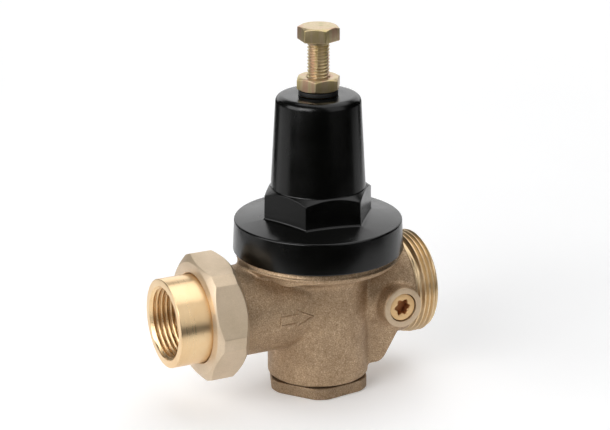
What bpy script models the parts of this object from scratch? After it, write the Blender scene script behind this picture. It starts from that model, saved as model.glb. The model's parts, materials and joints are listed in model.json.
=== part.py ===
"""Pressure reducing valve: a one-inch water valve with a plastic spring bonnet and a union inlet.

The origin is the centre of the bottom cap's underside. +Z runs up the valve axis, and water
flows along +X through ports whose common axis is at the height FLOW_Z. Every size below is in
millimetres, and MM turns it into metres when a mesh is made. Threads are plain cylinders.
"""
import math

import bmesh
import bpy
from mathutils import Matrix, Vector

MM = 0.001
SIDES_LARGE = 36      # sides of a large round piece
SIDES_CHAMBER = 24    # sides of the chambers inside the casting
SIDES_SMALL = 16      # sides of a small round piece
SIDES_PASSAGE = 12    # sides of a water passage
SIDES_HOLE = 8        # sides of a small drilled hole
SIDES_CORD = 6        # sides across a rubber ring's cord
SHARP_ANGLE = math.radians(32)
RUNNING_GAP = 0.3     # space left between pieces that touch
THROUGH = 1.0         # how far a cutter runs past the face that it opens
EDGE = 0.8            # chamfer at the end of a thread
HEX_CHAMFER = math.radians(30)   # slope of the chamfer on a bolt head or nut
HEX_FACE_SHARE = 0.95            # its flat face's diameter as a share of the width across flats

# Valve axis, from the bottom cap up to the bolt head
FLOW_Z = 42.0
CAP_FLATS = 44.2
CAP_CORNER_R = 23.9
CAP_CORNER_EDGE = 0.6
CAP_HEIGHT = 5.5
CAP_SPIGOT_R = 18.7
CAP_SPIGOT_TOP = 14.5
CAP_HOLLOW_R = 14.5
CAP_FLOOR = 3.5
CAP_TURN = 7.0        # degrees from +X to one corner
NECK_R = 23.3
NECK_BOTTOM = 6.1
NECK_EDGE = 1.0
BOWL_BOTTOM = 54.0    # where the neck widens into the bowl under the rim
BOWL_CURVE = [(24.4, 56.8), (29.0, 59.4)]
RIM_FOOT_R = 34.6
RIM_R = 36.0
RIM_BOTTOM = 61.0
RIM_EDGE = 1.4
RIM_TOP = 65.6
BODY_THREAD_R = 34.5
BODY_TOP = 70.0

# Chambers along the valve axis: a radius, and the height where it ends
CAP_SEAL_ROOM_R, CAP_SEAL_ROOM_TOP = 21.5, 8.3
CAP_THREAD_R, CAP_THREAD_TOP = 19.1, 17.0
OUTLET_ROOM_R, OUTLET_ROOM_TOP = 18.4, 31.0
SEAT_BORE_R, SEAT_BORE_TOP = 14.6, 36.0
INLET_ROOM_R, INLET_ROOM_TOP = 18.6, 51.5
CARTRIDGE_BORE_R, CARTRIDGE_BORE_TOP = 17.6, 59.5
SENSE_ROOM_R, SENSE_ROOM_BOTTOM = 30.4, 63.5
SENSE_HOLE_R = 1.5
SENSE_HOLE_X = 28.6
SENSE_HOLE_BOTTOM = 55.0

# Bonnet
FLANGE_BOTTOM_R = 38.9
FLANGE_TOP_R = 38.2
FLANGE_BOTTOM = 65.9
FLANGE_TOP = 80.5
FLANGE_RISE = 1.8     # how much the flange's top rises from its rim to the tower
FLANGE_LOW_EDGE = 0.4
FLANGE_TOP_EDGE = 0.7
BONNET_FLATS = 44.2
BONNET_TURN = 51.1    # degrees from +X to one corner
HEX_CORNER_TOP = 92.9
HEX_CONE_SLOPE = math.radians(34.7)
CROWN_INSET = 1.5     # how far the cone runs into the tower
TOWER_BASE_R = 21.5
TOWER_BASE_Z = 95.7
TOWER_TOP_R = 19.1
TOWER_SHOULDER_Z = 136.0
TOWER_TOP = 138.2
TOWER_EDGE = 1.9      # radius of the tower's top edge
BONNET_THREAD_R = 34.9
BONNET_THREAD_TOP = 74.3
PLATE_ROOM_R = 28.5
PLATE_ROOM_TOP = 76.6
SPRING_ROOM_BASE_R = 18.6
SPRING_ROOM_BASE = 78.0
SPRING_ROOM_TOP_R = 16.0
SPRING_ROOM_TOP = 124.5
INSERT_HOLE_R = 8.6

# Adjusting screw, M10, with its insert, nut and washer
SCREW_R = 5.0
SCREW_TIP = 113.0
SCREW_EDGE = 1.0
HEAD_BOTTOM = 163.0
HEAD_TOP = 169.4
HEAD_FLATS = 16.6
HEAD_TURN = 23.2
NUT_FLATS = 18.2
NUT_BOTTOM = 140.6
NUT_TOP = 146.5
NUT_TURN = -3.0
WASHER_R = 8.9
WASHER_BOTTOM = 138.4
WASHER_TOP = 140.3
INSERT_FLANGE_R = 11.3
INSERT_R = 8.3
INSERT_BOTTOM = 121.0
INSERT_FLANGE_TOP = 124.2
INSERT_TOP = 138.0

# Union and inlet, along the flow axis
TAIL_FACE_X = -76.8
TAIL_R = 20.15
TAIL_EDGE = 0.5
TAIL_COLLAR_R = 23.5
TAIL_SOCKET_R = 15.9
TAIL_SOCKET_DEPTH = 17.0
TAIL_SOCKET_LIP = 1.0
TAIL_COLLAR_FRONT_X = -58.1
TAIL_END_X = -55.0
BORE_R = 14.3
UNION_FRONT_X = -62.0
UNION_REAR_X = -46.3
UNION_FLATS = 52.8
UNION_CORNER_R = 28.9
UNION_FACE_R = 25.6
UNION_FRONT_EDGE = 2.2
UNION_REAR_EDGE = (1.4, 1.0)   # inwards and forwards
UNION_TURN = 37.7     # degrees from +Z towards -Y to one corner
UNION_HOLE_R = 20.5
UNION_THREAD_FRONT_X = -58.4
UNION_THREAD_R = 24.3
GASKET_IN_R, GASKET_OUT_R = 15.0, 23.2
GASKET_FRONT_X, GASKET_REAR_X = -54.7, -53.2
INLET_END_X = -52.9
INLET_THREAD_R = 23.9
INLET_THREAD_EDGE = 0.9
INLET_THREAD_REAR_X = -47.3
INLET_TUBE_R = 20.7
INLET_TUBE_FRONT_X = -45.6
INLET_BORE_END_X = -15.0

# Outlet, its passages and the gauge boss
OUTLET_END_X = 51.0
OUTLET_THREAD_R = 23.9
OUTLET_THREAD_EDGE = 1.0
OUTLET_THREAD_X = 41.4
OUTLET_HORN = [(17.0, 6.0), (18.0, 19.0), (21.0, 29.0), (22.8, 37.0), (22.8, 39.2)]
OUTLET_GROOVE = [(22.1, 39.4), (22.1, 40.6)]
OUTLET_BORE_R = 16.0
OUTLET_BORE_X = 30.0
OUTLET_CONE_R = 9.0
OUTLET_CONE_X = 25.0
WEB_HALF_WIDTH = 14.0
WEB_IN_X = 5.0
WEB_FOOT = (27.0, 9.0)
WEB_HEEL = (36.0, 24.0)
WEB_TOP = (36.5, 41.0)
LOW_PASSAGE_R = 7.6
LOW_PASSAGE_Z = 20.5
LOW_PASSAGE_X = (14.0, 25.5)
RISING_PASSAGE_R = 7.4
RISING_PASSAGE_START = (21.0, 0.0, 18.3)
RISING_PASSAGE_END = (33.0, 0.0, 44.0)
BOSS_X = 30.0
BOSS_Z = FLOW_Z - 1.8
BOSS_R = 9.4
BOSS_FACE_Y = -27.0
BOSS_ROOT_Y = -12.0
BOSS_BORE_R = 6.7
BOSS_BORE_END_Y = -17.8
GAUGE_HOLE_R = 4.6
GAUGE_HOLE_END_Y = -10.0
PLUG_R = 6.4
PLUG_LENGTH = 6.9
PLUG_TIP_EDGE = 0.8
PLUG_FACE_EDGE = 0.7
PLUG_FACE_DEPTH = 0.8          # how far the plug's face lies below the boss face
PLUG_SOCKET_FLATS = 6.0
PLUG_SOCKET_FLOOR = 2.6

# Rubber rings: the ring's radius, its height and its cord's radius
CAP_ORING = (20.15, 6.95, 1.1)
PISTON_ORING = (9.4, 54.0, 0.65)
CARTRIDGE_UPPER_ORING = (16.65, 54.3, 0.75)
CARTRIDGE_LOWER_ORING = (13.65, 32.9, 0.75)
PLUG_SEAL = (5.4, -0.9, 0.6)

# Diaphragm, its plates and the ring above it
DIAPHRAGM_R = 33.9
DIAPHRAGM_THICKNESS = 1.8
DIAPHRAGM_MIDDLE = 67.4        # underside of the clamped middle
DIAPHRAGM_RIM = 70.3           # underside of the clamped rim
DIAPHRAGM_MIDDLE_R = 21.5
DIAPHRAGM_SLOPE_R = 25.0
DIAPHRAGM_SLOPE_RISE = 1.4
DIAPHRAGM_RIM_R = 28.0
DIAPHRAGM_TAPER = 0.4          # how much further in its upper side bends
STEM_HOLE_R = 4.3
PLATE_R = 20.5
PLATE_EDGE = 0.6
PLATE_BOTTOM = 69.5
PLATE_TOP = 71.4
PLATE_MIDDLE_TOP = 71.8
PLATE_WALL_IN_R, PLATE_WALL_OUT_R = 15.6, 17.3
PLATE_WALL_TOP = 74.5
BACKING_LOW_R, BACKING_R = 19.6, 21.0
BACKING_BOTTOM, BACKING_EDGE_TOP, BACKING_TOP = 65.1, 65.9, 67.1
SLIP_IN_R, SLIP_OUT_R = 29.0, 34.0
SLIP_BOTTOM, SLIP_TOP = 72.4, 74.0

# Main spring, with its upper seat
SPRING_COIL_R = 12.4
SPRING_WIRE_R = 2.0
SPRING_BOTTOM = 72.1
SPRING_TOP = 108.7
SPRING_TURNS = 6.5
SPRING_STEPS_PER_TURN = 12
SPRING_WIRE_SIDES = 5
BUTTON_SPIGOT_R, BUTTON_R, BUTTON_CROWN_R = 10.0, 14.3, 6.0
BUTTON_BOTTOM, BUTTON_FLANGE, BUTTON_EDGE_TOP, BUTTON_TOP = 106.0, 109.0, 111.2, 112.7

# Stem with its balance piston
STEM_TIP_R, STEM_DISC_R, STEM_R = 2.4, 3.0, 4.0
STEM_BOTTOM = 15.5
STEM_TIP_EDGE = 0.6
STEM_SHOULDER = 23.6
STEM_FLANGE_R = 5.0
STEM_FLANGE = (27.8, 29.5)
PISTON_R = 10.1
PISTON_GROOVE_R = 8.4
PISTON_BOTTOM, PISTON_TOP = 51.3, 56.6
PISTON_GROOVE = (53.0, 55.0)
STEM_WAIST_R = 6.0
STEM_STOP_R = 12.5
STEM_STOP = (59.6, 61.0)
STEM_CLAMP = 64.8
STEM_TOP = 79.0
STEM_NUT_FLATS = 13.0
STEM_NUT_BOTTOM, STEM_NUT_TOP = 72.1, 78.0

# Seat cartridge with its strainer and retaining ring
SEAT_R = 9.5
SEAT_FACE = (9.5, 10.7)        # inner and outer radius of the seat's face
SEAT_Z = 28.3
SEAT_CONE = (11.2, 29.2)
SEAT_THROAT_TOP = 35.0
CARTRIDGE_FOOT_R = 14.2
CARTRIDGE_LOW_GROOVE_R = 12.6
CARTRIDGE_LOW_GROOVE = (31.8, 34.0)
CARTRIDGE_FOOT_TOP = 36.3
CARTRIDGE_FLANGE_R = 15.8
CARTRIDGE_FLANGE_TOP = 37.6
CARTRIDGE_TUBE_R = 12.4
CARTRIDGE_HEAD = (51.8, 57.0)
CARTRIDGE_HEAD_R = 17.2
CARTRIDGE_TOP_GROOVE_R = 15.6
CARTRIDGE_TOP_GROOVE = (53.2, 55.4)
CARTRIDGE_BARREL_R = 10.4
CARTRIDGE_BARREL_BOTTOM = 36.0
WINDOW_REACH = 14.0
WINDOW_HALF_WIDTH = 4.0
WINDOW_BOTTOM, WINDOW_TOP = 39.0, 49.5
SCREEN_IN_R, SCREEN_OUT_R = 16.2, 16.8
SCREEN_BOTTOM, SCREEN_TOP = 36.4, 51.4
RETAINER_IN_R, RETAINER_OUT_R = 11.2, 17.2
RETAINER_BOTTOM, RETAINER_TOP = 57.3, 59.3

# Seat disc with its holder, washer and nut
HOLDER_R, HOLDER_LIP_IN_R = 13.6, 12.8
HOLDER_BOTTOM, HOLDER_EDGE_TOP, HOLDER_FLOOR, HOLDER_TOP = 20.5, 21.3, 23.3, 25.4
DISC_HOLE_R = 3.3
DISC_IN_R, DISC_OUT_R = 4.4, 12.5
DISC_BOTTOM, DISC_TOP = 23.6, 26.2
DISC_WASHER_R = 8.2
DISC_WASHER_BOTTOM, DISC_WASHER_TOP = 26.5, 27.5
DISC_NUT_FLATS = 10.0
DISC_NUT_BOTTOM, DISC_NUT_TOP = 16.4, 20.2


def clear_scene():
    """Remove every object, so that the file holds the valve alone."""
    for old in list(bpy.data.objects):
        bpy.data.objects.remove(old, do_unlink=True)


def make_material(name, colour, roughness, metallic):
    """A Principled material with one colour."""
    material = bpy.data.materials.new(name)
    material.use_nodes = True
    shader = material.node_tree.nodes["Principled BSDF"]
    shader.inputs["Base Color"].default_value = (*colour, 1.0)
    shader.inputs["Roughness"].default_value = roughness
    shader.inputs["Metallic"].default_value = metallic
    return material


def make_materials():
    """Every material of the valve, by a short name."""
    return {
        "bronze": make_material("cast_bronze", (0.33, 0.24, 0.17), 0.5, 0.8),
        "polished": make_material("polished_brass", (0.83, 0.60, 0.30), 0.22, 1.0),
        "matte_brass": make_material("matte_brass", (0.55, 0.46, 0.33), 0.4, 0.9),
        "plastic": make_material("black_plastic", (0.012, 0.012, 0.013), 0.2, 0.0),
        "zinc": make_material("yellow_zinc", (0.62, 0.50, 0.30), 0.28, 1.0),
        "steel": make_material("spring_steel", (0.45, 0.46, 0.48), 0.35, 1.0),
        "rubber": make_material("black_rubber", (0.03, 0.03, 0.03), 0.75, 0.0),
        "fibre": make_material("gasket_fibre", (0.45, 0.12, 0.08), 0.8, 0.0),
        "acetal": make_material("white_acetal", (0.82, 0.81, 0.76), 0.4, 0.0),
    }


def new_object(name, build, material=None):
    """Turn a bmesh into an object, with its faces pointing out."""
    bmesh.ops.remove_doubles(build, verts=build.verts, dist=1e-7)
    bmesh.ops.recalc_face_normals(build, faces=build.faces)
    mesh = bpy.data.meshes.new(name)
    build.to_mesh(mesh)
    build.free()
    thing = bpy.data.objects.new(name, mesh)
    bpy.context.collection.objects.link(thing)
    if material:
        mesh.materials.append(material)
    return thing


def arc(centre_r, centre_h, radius, start, end, steps):
    """Points of an arc in a (radius, height) outline, with its angles in degrees."""
    points = []
    for step in range(steps + 1):
        angle = math.radians(start + (end - start) * step / steps)
        points.append((centre_r + radius * math.cos(angle), centre_h + radius * math.sin(angle)))
    return points


def turned(name, outline, material=None, sides=SIDES_SMALL):
    """Spin a closed (radius, height) outline round Z."""
    build = bmesh.new()
    corners = [build.verts.new((r * MM, 0.0, h * MM)) for r, h in outline]
    edges = [build.edges.new((a, b)) for a, b in zip(corners, corners[1:] + corners[:1])
             if a.co.x > 0.0 or b.co.x > 0.0]
    bmesh.ops.spin(build, geom=edges, cent=(0, 0, 0), axis=(0, 0, 1),
                   angle=2 * math.pi, steps=sides, use_merge=True)
    return new_object(name, build, material)


def torus(name, ring_r, height, cord_r, material):
    """A round rubber ring round Z."""
    outline = arc(ring_r, height, cord_r, 0, 360, SIDES_CORD)[:-1]
    return turned(name, outline, material, SIDES_SMALL)


def hexagon(name, flats, bottom, top, turn_degrees):
    """A hexagonal prism along Z, with one corner turned from +X."""
    build = bmesh.new()
    made = bmesh.ops.create_circle(build, cap_ends=True, segments=6,
                                   radius=flats / math.sqrt(3) * MM,
                                   matrix=Matrix.Rotation(math.radians(turn_degrees), 4, "Z"))
    bmesh.ops.translate(build, verts=made["verts"], vec=(0, 0, bottom * MM))
    raised = bmesh.ops.extrude_face_region(build, geom=build.faces[:])
    verts = [part for part in raised["geom"] if isinstance(part, bmesh.types.BMVert)]
    bmesh.ops.translate(build, verts=verts, vec=(0, 0, (top - bottom) * MM))
    return new_object(name, build)


def block(name, low, high):
    """A box between two corners."""
    build = bmesh.new()
    size = [(b - a) * MM for a, b in zip(low, high)]
    middle = [(a + b) / 2 * MM for a, b in zip(low, high)]
    place = Matrix.Translation(middle) @ Matrix.Diagonal((*size, 1.0))
    bmesh.ops.create_cube(build, size=1.0, matrix=place)
    return new_object(name, build)


def rod(name, start, end, radius, sides=SIDES_SMALL):
    """A plain cylinder between two points."""
    first, last = Vector(start) * MM, Vector(end) * MM
    along = last - first
    build = bmesh.new()
    turn = along.to_track_quat("Z", "Y").to_matrix().to_4x4()
    bmesh.ops.create_cone(build, cap_ends=True, segments=sides, radius1=radius * MM,
                          radius2=radius * MM, depth=along.length,
                          matrix=Matrix.Translation((first + last) / 2) @ turn)
    return new_object(name, build)


def plate_xz(name, outline, y_low, y_high):
    """A flat plate with an (x, z) outline, between two values of y."""
    build = bmesh.new()
    face = build.faces.new([build.verts.new((x * MM, y_low * MM, z * MM)) for x, z in outline])
    pushed = bmesh.ops.extrude_face_region(build, geom=[face])
    verts = [part for part in pushed["geom"] if isinstance(part, bmesh.types.BMVert)]
    bmesh.ops.translate(build, verts=verts, vec=(0, (y_high - y_low) * MM, 0))
    return new_object(name, build)


def combine(thing, tool, operation="DIFFERENCE"):
    """Apply a Boolean of tool on thing, and remove the tool."""
    modifier = thing.modifiers.new(operation.lower(), "BOOLEAN")
    modifier.operation = operation
    modifier.solver = "EXACT"
    modifier.object = tool
    bpy.context.view_layer.update()
    with bpy.context.temp_override(object=thing, active_object=thing, selected_objects=[thing]):
        bpy.ops.object.modifier_apply(modifier=modifier.name)
    bpy.data.objects.remove(tool, do_unlink=True)
    return thing


def lay_along_x(thing):
    """Lay a shape turned round Z onto the flow axis, with its own Z along +X."""
    thing.rotation_euler = (0.0, math.pi / 2, 0.0)
    thing.location = (0.0, 0.0, FLOW_Z * MM)
    bpy.context.view_layer.update()
    return thing


def finish_round(thing):
    """Smooth shading, with its real edges kept sharp."""
    thing.data.shade_smooth()
    thing.data.set_sharp_from_angle(angle=SHARP_ANGLE)


def ring(in_r, out_r, bottom, top):
    """The outline of a plain flat ring."""
    return [(in_r, bottom), (out_r, bottom), (out_r, top), (in_r, top)]


def body_shell():
    """The outside of the bronze casting, still solid."""
    outline = [(0, NECK_BOTTOM), (NECK_R - NECK_EDGE, NECK_BOTTOM),
               (NECK_R, NECK_BOTTOM + NECK_EDGE), (NECK_R, BOWL_BOTTOM), *BOWL_CURVE,
               (RIM_FOOT_R, RIM_BOTTOM), (RIM_R, RIM_BOTTOM + RIM_EDGE), (RIM_R, RIM_TOP),
               (BODY_THREAD_R, RIM_TOP), (BODY_THREAD_R, BODY_TOP - EDGE),
               (BODY_THREAD_R - EDGE, BODY_TOP), (0, BODY_TOP)]
    body = turned("valve_body", outline, sides=SIDES_LARGE)
    inlet_root = OUTLET_HORN[0][1]
    inlet = [(0, INLET_END_X), (INLET_THREAD_R - INLET_THREAD_EDGE, INLET_END_X),
             (INLET_THREAD_R, INLET_END_X + INLET_THREAD_EDGE),
             (INLET_THREAD_R, INLET_THREAD_REAR_X), (INLET_TUBE_R, INLET_TUBE_FRONT_X),
             (INLET_TUBE_R, -inlet_root), (0, -inlet_root)]
    combine(body, lay_along_x(turned("inlet", inlet, sides=SIDES_LARGE)), "UNION")
    outlet = [(0, OUTLET_HORN[0][1]), *OUTLET_HORN, *OUTLET_GROOVE,
              (OUTLET_THREAD_R, OUTLET_THREAD_X),
              (OUTLET_THREAD_R, OUTLET_END_X - OUTLET_THREAD_EDGE),
              (OUTLET_THREAD_R - OUTLET_THREAD_EDGE, OUTLET_END_X), (0, OUTLET_END_X)]
    combine(body, lay_along_x(turned("outlet", outlet, sides=SIDES_LARGE)), "UNION")
    web = [(WEB_IN_X, WEB_FOOT[1]), WEB_FOOT, WEB_HEEL, WEB_TOP, (WEB_IN_X, WEB_TOP[1])]
    combine(body, plate_xz("web", web, -WEB_HALF_WIDTH, WEB_HALF_WIDTH), "UNION")
    boss = rod("boss", (BOSS_X, BOSS_ROOT_Y, BOSS_Z), (BOSS_X, BOSS_FACE_Y, BOSS_Z), BOSS_R)
    return combine(body, boss, "UNION")


def cut_body_passages(body):
    """Chambers along the valve axis, the two ports and the passages between them."""
    chambers = [(0, NECK_BOTTOM - THROUGH), (CAP_SEAL_ROOM_R, NECK_BOTTOM - THROUGH),
                (CAP_SEAL_ROOM_R, CAP_SEAL_ROOM_TOP), (CAP_THREAD_R, CAP_SEAL_ROOM_TOP),
                (CAP_THREAD_R, CAP_THREAD_TOP),
                (OUTLET_ROOM_R, CAP_THREAD_TOP + CAP_THREAD_R - OUTLET_ROOM_R),
                (OUTLET_ROOM_R, OUTLET_ROOM_TOP), (SEAT_BORE_R, OUTLET_ROOM_TOP),
                (SEAT_BORE_R, SEAT_BORE_TOP), (INLET_ROOM_R, SEAT_BORE_TOP),
                (INLET_ROOM_R, INLET_ROOM_TOP), (CARTRIDGE_BORE_R, INLET_ROOM_TOP),
                (CARTRIDGE_BORE_R, CARTRIDGE_BORE_TOP), (SENSE_ROOM_R, SENSE_ROOM_BOTTOM),
                (SENSE_ROOM_R, BODY_TOP + THROUGH), (0, BODY_TOP + THROUGH)]
    combine(body, turned("chambers", chambers, sides=SIDES_CHAMBER))
    combine(body, rod("inlet_bore", (INLET_END_X - THROUGH, 0, FLOW_Z),
                      (INLET_BORE_END_X, 0, FLOW_Z), BORE_R))
    outlet_bore = [(0, OUTLET_CONE_X), (OUTLET_CONE_R, OUTLET_CONE_X),
                   (OUTLET_BORE_R, OUTLET_BORE_X), (OUTLET_BORE_R, OUTLET_END_X + THROUGH),
                   (0, OUTLET_END_X + THROUGH)]
    combine(body, lay_along_x(turned("outlet_bore", outlet_bore)))
    combine(body, rod("low_passage", (LOW_PASSAGE_X[0], 0, LOW_PASSAGE_Z),
                      (LOW_PASSAGE_X[1], 0, LOW_PASSAGE_Z), LOW_PASSAGE_R, SIDES_PASSAGE))
    combine(body, rod("rising_passage", RISING_PASSAGE_START, RISING_PASSAGE_END,
                      RISING_PASSAGE_R, SIDES_PASSAGE))
    combine(body, rod("sense_hole", (SENSE_HOLE_X, 0, SENSE_HOLE_BOTTOM),
                      (SENSE_HOLE_X, 0, RIM_TOP), SENSE_HOLE_R, SIDES_HOLE))
    combine(body, rod("plug_thread", (BOSS_X, BOSS_FACE_Y - THROUGH, BOSS_Z),
                      (BOSS_X, BOSS_BORE_END_Y, BOSS_Z), BOSS_BORE_R))
    return combine(body, rod("gauge_hole", (BOSS_X, BOSS_BORE_END_Y - THROUGH, BOSS_Z),
                             (BOSS_X, GAUGE_HOLE_END_Y, BOSS_Z), GAUGE_HOLE_R, SIDES_PASSAGE))


def make_body(materials):
    """The bronze casting that everything else fastens to."""
    body = cut_body_passages(body_shell())
    body.data.materials.clear()
    body.data.materials.append(materials["bronze"])
    finish_round(body)


def make_bottom_cap(materials):
    """Hexagonal cap with a hollow screwed spigot, and its sealing ring."""
    disc = turned("bottom_cap", [(0, 0), (CAP_CORNER_R - CAP_CORNER_EDGE, 0),
                                 (CAP_CORNER_R, CAP_CORNER_EDGE),
                                 (CAP_CORNER_R, CAP_HEIGHT), (0, CAP_HEIGHT)],
                  materials["bronze"], SIDES_LARGE)
    combine(disc, hexagon("cap_flats", CAP_FLATS, -THROUGH, CAP_HEIGHT + THROUGH, CAP_TURN),
            "INTERSECT")
    spigot = [(0, CAP_FLOOR), (CAP_SPIGOT_R, CAP_FLOOR), (CAP_SPIGOT_R, CAP_SPIGOT_TOP - EDGE),
              (CAP_SPIGOT_R - EDGE, CAP_SPIGOT_TOP), (0, CAP_SPIGOT_TOP)]
    combine(disc, turned("spigot", spigot, sides=SIDES_LARGE), "UNION")
    combine(disc, rod("cap_hollow", (0, 0, CAP_FLOOR - RUNNING_GAP),
                      (0, 0, CAP_SPIGOT_TOP + THROUGH), CAP_HOLLOW_R))
    finish_round(disc)
    torus("cap_oring", *CAP_ORING, materials["rubber"])


def make_bonnet(materials):
    """Plastic spring housing: screwed flange, hexagon and tapered tower, with its brass insert."""
    taper = math.degrees(math.atan2(TOWER_BASE_R - TOWER_TOP_R, TOWER_SHOULDER_Z - TOWER_BASE_Z))
    edge = arc(TOWER_TOP_R - TOWER_EDGE, TOWER_TOP - TOWER_EDGE, TOWER_EDGE, taper, 90, 4)
    outline = [(0, FLANGE_BOTTOM), (FLANGE_BOTTOM_R - FLANGE_LOW_EDGE, FLANGE_BOTTOM),
               (FLANGE_BOTTOM_R, FLANGE_BOTTOM + FLANGE_LOW_EDGE),
               (FLANGE_TOP_R, FLANGE_TOP - FLANGE_TOP_EDGE),
               (FLANGE_TOP_R - FLANGE_TOP_EDGE, FLANGE_TOP),
               (TOWER_BASE_R, FLANGE_TOP + FLANGE_RISE),
               (TOWER_BASE_R, TOWER_BASE_Z), *edge, (0, TOWER_TOP)]
    bonnet = turned("bonnet", outline, materials["plastic"], SIDES_LARGE)
    combine(bonnet, bonnet_hexagon(), "UNION")
    hollow = [(0, FLANGE_BOTTOM - THROUGH), (BONNET_THREAD_R, FLANGE_BOTTOM - THROUGH),
              (BONNET_THREAD_R, BONNET_THREAD_TOP), (PLATE_ROOM_R, BONNET_THREAD_TOP),
              (PLATE_ROOM_R, PLATE_ROOM_TOP), (SPRING_ROOM_BASE_R, SPRING_ROOM_BASE),
              (SPRING_ROOM_TOP_R, SPRING_ROOM_TOP), (INSERT_HOLE_R, SPRING_ROOM_TOP),
              (INSERT_HOLE_R, TOWER_TOP + THROUGH), (0, TOWER_TOP + THROUGH)]
    combine(bonnet, turned("hollow", hollow, sides=SIDES_LARGE))
    finish_round(bonnet)
    bore_r = SCREW_R + RUNNING_GAP
    insert = [(bore_r, INSERT_BOTTOM), (INSERT_FLANGE_R, INSERT_BOTTOM),
              (INSERT_FLANGE_R, INSERT_FLANGE_TOP), (INSERT_R, INSERT_FLANGE_TOP),
              (INSERT_R, INSERT_TOP), (bore_r, INSERT_TOP)]
    finish_round(turned("threaded_insert", insert, materials["polished"]))


def bonnet_hexagon():
    """The hexagon between flange and tower, with its corners taken off by a cone."""
    corner_r = BONNET_FLATS / math.sqrt(3)
    bottom = FLANGE_TOP - THROUGH
    cone_top_r = TOWER_BASE_R - CROWN_INSET
    cone_top = HEX_CORNER_TOP + (corner_r - cone_top_r) * math.tan(HEX_CONE_SLOPE)
    cone_low = HEX_CORNER_TOP - THROUGH * math.tan(HEX_CONE_SLOPE)
    crown = turned("crown", [(0, bottom), (corner_r + THROUGH, bottom),
                             (corner_r + THROUGH, cone_low), (cone_top_r, cone_top),
                             (0, cone_top)], sides=SIDES_LARGE)
    flats = hexagon("crown_flats", BONNET_FLATS, bottom - THROUGH, cone_top + THROUGH,
                    BONNET_TURN)
    return combine(crown, flats, "INTERSECT")


def chamfered_hexagon(name, flats, bottom, top, turn_degrees, chamfer_low, material):
    """A bolt head or nut, whose corners are chamfered by a cone on one or both faces."""
    blank_r = flats / math.sqrt(3) + RUNNING_GAP
    face_r = flats / 2 * HEX_FACE_SHARE
    drop = (blank_r - face_r) * math.tan(HEX_CHAMFER)
    low = [(0, bottom), (face_r, bottom), (blank_r, bottom + drop)]
    if not chamfer_low:
        low = [(0, bottom), (blank_r, bottom)]
    blank = turned(name, [*low, (blank_r, top - drop), (face_r, top), (0, top)], material)
    return combine(blank, hexagon("flats", flats, bottom - THROUGH, top + THROUGH, turn_degrees),
                   "INTERSECT")


def make_nut(name, flats, bottom, top, turn_degrees, bore_r, material):
    """A nut with both faces chamfered."""
    nut = chamfered_hexagon(name, flats, bottom, top, turn_degrees, True, material)
    combine(nut, rod("nut_bore", (0, 0, bottom - THROUGH), (0, 0, top + THROUGH), bore_r))
    finish_round(nut)


def make_adjuster(materials):
    """Adjusting screw with its lock nut and washer."""
    screw = chamfered_hexagon("adjusting_screw", HEAD_FLATS, HEAD_BOTTOM, HEAD_TOP, HEAD_TURN,
                              False, materials["zinc"])
    shank = [(0, SCREW_TIP), (SCREW_R - SCREW_EDGE, SCREW_TIP), (SCREW_R, SCREW_TIP + SCREW_EDGE),
             (SCREW_R, HEAD_BOTTOM + THROUGH), (0, HEAD_BOTTOM + THROUGH)]
    combine(screw, turned("shank", shank), "UNION")
    finish_round(screw)
    bore_r = SCREW_R + RUNNING_GAP
    make_nut("lock_nut", NUT_FLATS, NUT_BOTTOM, NUT_TOP, NUT_TURN, bore_r, materials["zinc"])
    finish_round(turned("lock_washer", ring(bore_r, WASHER_R, WASHER_BOTTOM, WASHER_TOP),
                        materials["rubber"]))


def spring_wire_rings(build):
    """Corners of the spring wire, one ring of them at each step along the helix."""
    steps = round(SPRING_TURNS * SPRING_STEPS_PER_TURN)
    low, high = SPRING_BOTTOM + SPRING_WIRE_R, SPRING_TOP - SPRING_WIRE_R
    rise = (high - low) / (2 * math.pi * SPRING_TURNS * SPRING_COIL_R)
    rings = []
    for step in range(steps + 1):
        angle = 2 * math.pi * SPRING_TURNS * step / steps
        out = Vector((math.cos(angle), math.sin(angle), 0.0))
        along = Vector((-out.y, out.x, rise)).normalized()
        up = along.cross(out).normalized()
        centre = out * SPRING_COIL_R + Vector((0, 0, low + (high - low) * step / steps))
        corners = []
        for side in range(SPRING_WIRE_SIDES):
            turn = 2 * math.pi * side / SPRING_WIRE_SIDES
            spot = centre + (out * math.cos(turn) + up * math.sin(turn)) * SPRING_WIRE_R
            corners.append(build.verts.new(spot * MM))
        rings.append(corners)
    return rings


def make_spring(materials):
    """Compression spring, with its upper seat."""
    build = bmesh.new()
    rings = spring_wire_rings(build)
    for first, second in zip(rings, rings[1:]):
        for side in range(SPRING_WIRE_SIDES):
            following = (side + 1) % SPRING_WIRE_SIDES
            build.faces.new((first[side], first[following], second[following], second[side]))
    build.faces.new(rings[0])
    build.faces.new(rings[-1])
    finish_round(new_object("main_spring", build, materials["steel"]))
    seat = [(0, BUTTON_BOTTOM), (BUTTON_SPIGOT_R, BUTTON_BOTTOM),
            (BUTTON_SPIGOT_R, BUTTON_FLANGE), (BUTTON_R, BUTTON_FLANGE),
            (BUTTON_R, BUTTON_EDGE_TOP), (BUTTON_CROWN_R, BUTTON_TOP), (0, BUTTON_TOP)]
    finish_round(turned("spring_button", seat, materials["zinc"]))


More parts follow.
